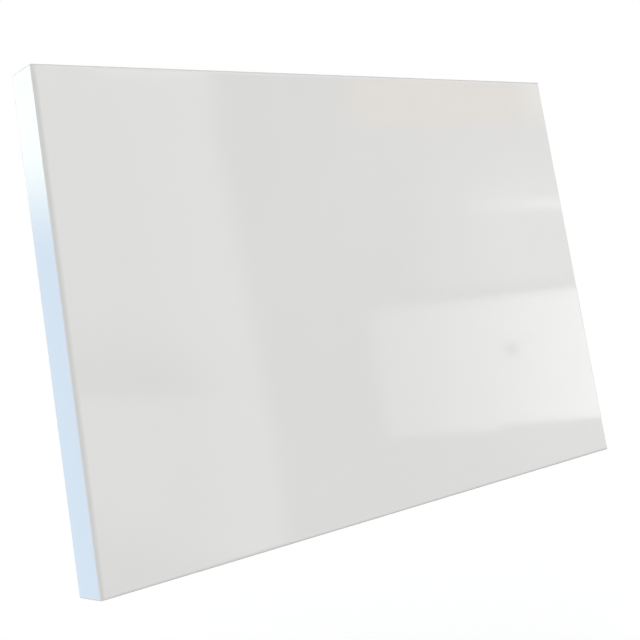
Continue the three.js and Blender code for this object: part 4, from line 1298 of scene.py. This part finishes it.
def add_floor(stage):
    """A wide pale floor that keeps the heater's shadow and is otherwise white to the eye."""
    height = CASING_LOW.z - stage.floor_drop
    bm = bmesh.new()
    corners = ((-1, -1), (1, -1), (1, 1), (-1, 1))
    bm.faces.new([bm.verts.new((x * FLOOR_REACH, y * FLOOR_REACH, height)) for x, y in corners])
    mesh = bpy.data.meshes.new("floor")
    bm.to_mesh(mesh)
    bm.free()
    floor = bpy.data.objects.new("floor", mesh)
    bpy.context.scene.collection.objects.link(floor)
    material = bpy.data.materials.new("pale floor")
    material.use_nodes = True
    tree = material.node_tree
    shader = tree.nodes["Principled BSDF"]
    shader.inputs["Base Color"].default_value = (*stage.floor_colour, 1)
    shader.inputs["Roughness"].default_value = 0.9
    shader.inputs["Specular IOR Level"].default_value = 0.0
    inputs = {0: seen_directly(tree), 1: stage.floor_lift}
    lift = add_node(tree, "ShaderNodeMath", inputs, operation="MULTIPLY")
    shader.inputs["Emission Color"].default_value = (1, 1, 1, 1)
    tree.links.new(lift.outputs[0], shader.inputs["Emission Strength"])
    mesh.materials.append(material)


CARDS = (
    # name, surface that shows it, distance, colour, glow at its left and right end,
    # where its ends show in the picture, soft shares
    (
        "far room", "face", 1.40, (1.25, 1.25, 1.25), (0.33, 1.0),
        (
            ((203, 20), (690, 20)), ((211, 135), (700, 135)), ((262, 392), (715, 392)),
            ((297, 640), (730, 640)),
        ),
        (0.03, 0, 0, 0),
    ),
    (
        "window", "face", 1.30, (3.88, 3.88, 4.02), (0.37, 1.0),
        (((364, 309), (645, 275)), ((369, 360), (650, 350)), ((383, 441), (655, 418))),
        (0.05, 0, 0.05, 0.03),
    ),
    (
        "window sill", "face", 1.27, (1.05, 1.05, 1.05), (0.9, 1.15),
        (((497, 421), (655, 411)), ((501, 480), (660, 480))),
        (0.04, 0, 0.08, 0.6),
    ),
    (
        "window catch", "face", 1.26, (1.0, 1.0, 0.95), (1.0, 1.0),
        (((498, 337), (524, 336)), ((499, 363), (525, 362))),
        (0.5, 0.5, 0.5, 0.5),
    ),
    (
        "curtain", "face", 1.36, (1.4, 1.4, 1.38), (1.0, 1.0),
        (
            ((90, 20), (205, 20)), ((100, 135), (212, 135)), ((170, 392), (263, 392)),
            ((200, 640), (297, 640)),
        ),
        (0.8, 0.03, 0, 0),
    ),
    (
        "ceiling", "face", 1.34, (2.1, 2.1, 2.15), (1.0, 1.0),
        (((75, 30), (204, 30)), ((80, 86), (208, 86))),
        (0.3, 0.05, 0, 0.5),
    ),
    (
        "shelf", "face", 1.32, (0.28, 0.28, 0.28), (1.0, 1.0),
        (((50, 300), (200, 300)), ((60, 345), (238, 345)), ((66, 399), (264, 399))),
        (0, 0.6, 0.9, 0.05),
    ),
    (
        "room floor", "face", 1.31, (0.3, 0.3, 0.3), (1.0, 1.0),
        (((50, 470), (190, 500)), ((60, 640), (300, 640))),
        (0, 0.6, 0.6, 0),
    ),
    (
        "wooden door", "face", 1.37, (1.25, 0.80, 0.50), (1.0, 1.0),
        (((338, 50), (528, 50)), ((342, 129), (532, 129))),
        (0.12, 0.1, 0, 0.12),
    ),
    (
        "bright corner", "face", 1.35, (1.75, 1.6, 1.3), (1.0, 1.0),
        (((510, 50), (560, 50)), ((512, 145), (575, 145))),
        (0.4, 0, 0, 0.6),
    ),
    (
        "pale wall", "face", 1.34, (1.6, 1.6, 1.58), (0.95, 0.95),
        (((390, 135), (650, 120)), ((400, 296), (655, 282))),
        (0.5, 0, 0.45, 0.08),
    ),
    (
        "lamp", "face", 1.30, (2.9, 2.9, 2.85), (0.5, 1.0),
        (((428, 197), (585, 192)), ((430, 215), (588, 213))),
        (0.4, 0, 0.45, 0.45),
    ),
    (
        "sky", "left wall", 0.68, (1.05, 1.95, 3.0), (1.0, 1.0),
        (((-12, 20), (72, 20)), ((60, 640), (136, 640))),
        (0.06, 0.06, 0, 0),
    ),
    (
        "cloud", "left wall", 0.66, (3.65, 4.1, 3.95), (1.0, 1.0),
        (((-5, 40), (62, 40)), ((20, 258), (90, 258))),
        (0, 0, 0, 0.55),
    ),
)


FLAGS = (
    # name, corner, and the ways to its two neighbouring corners, too far back for the face to
    # mirror the flag
    ("upper flag", (-0.8, FACE_Y - 0.1, CASING_HIGH.z + 0.3), (2.1, 0, 0), (0, 0.8, 0)),
    ("lower flag", (-0.8, FACE_Y - 0.1, CASING_LOW.z - 0.3), (2.1, 0, 0), (0, 0.8, 0)),
)


class INFRARED_OT_stage(bpy.types.Operator):
    """Sets up the camera, the floor, the soft lamps and what the gloss reflects"""

    bl_idname = "infrared_heater.stage"
    bl_label = "Stage"
    bl_options = {"REGISTER", "UNDO"}

    def execute(self, context):
        stage = context.scene.heater_stage
        camera = add_camera(stage)
        set_world(stage)
        add_floor(stage)
        add_sun("key lamp", (0.6, -0.8, 0.25), stage.key, (1.0, 0.995, 0.98), 40)
        add_sun("side lamp", (-0.8, 0.6, 0.15), stage.side, stage.side_colour, 30)
        add_sun("overhead lamp", (0.05, -0.05, 1.0), stage.overhead, (1, 1, 1), 50)
        surfaces = {
            "face": (Vector((0, FACE_Y, 0)), Vector((0, -1, 0))),
            "left wall": (Vector((CASING_LOW.x, 0, 0)), Vector((-1, 0, 0))),
        }
        for name, surface, distance, light, glow, rows, soft in CARDS:
            add_card(camera, name, surfaces[surface], distance, light, glow, rows, soft)
        for name, corner, along, down in FLAGS:
            add_flag(name, corner, along, down, stage.flag_grey)
        context.scene.view_settings.view_transform = "Standard"
        return {"FINISHED"}


class INFRARED_PT_heater(bpy.types.Panel):
    """Lists the steps that build the heater, and its sizes, colours and light"""

    bl_idname = "INFRARED_PT_heater"
    bl_label = "Infrared Panel Heater"
    bl_space_type = "VIEW_3D"
    bl_region_type = "UI"
    bl_category = "Panel Heater"

    def draw(self, context):
        scene = context.scene
        for operator in OPERATORS:
            self.layout.operator(operator.bl_idname)
        for title, group in (
            ("Sizes", scene.heater_sizes),
            ("Colours", scene.heater_colours),
            ("Stage", scene.heater_stage),
        ):
            box = self.layout.box()
            box.label(text=title)
            for name in group.__annotations__:
                box.prop(group, name)


OPERATORS = (
    INFRARED_OT_finishes,
    INFRARED_OT_casing,
    INFRARED_OT_back_cover,
    INFRARED_OT_cover_screws,
    INFRARED_OT_hanger_rails,
    INFRARED_OT_rivets,
    INFRARED_OT_wall_frame,
    INFRARED_OT_junction_box,
    INFRARED_OT_cord_gland,
    INFRARED_OT_bumpers,
    INFRARED_OT_stage,
)
CLASSES = (HeaterSizes, HeaterColours, HeaterStage, *OPERATORS, INFRARED_PT_heater)


def register():
    for cls in CLASSES:
        bpy.utils.register_class(cls)
    bpy.types.Scene.heater_sizes = PointerProperty(type=HeaterSizes)
    bpy.types.Scene.heater_colours = PointerProperty(type=HeaterColours)
    bpy.types.Scene.heater_stage = PointerProperty(type=HeaterStage)


def unregister():
    del bpy.types.Scene.heater_stage
    del bpy.types.Scene.heater_colours
    del bpy.types.Scene.heater_sizes
    for cls in reversed(CLASSES):
        bpy.utils.unregister_class(cls)


def main():
    """Builds the heater and its stage."""
    register()
    for operator in OPERATORS:
        group, name = operator.bl_idname.split(".")
        getattr(getattr(bpy.ops, group), name)()


if __name__ == "__main__":
    main()
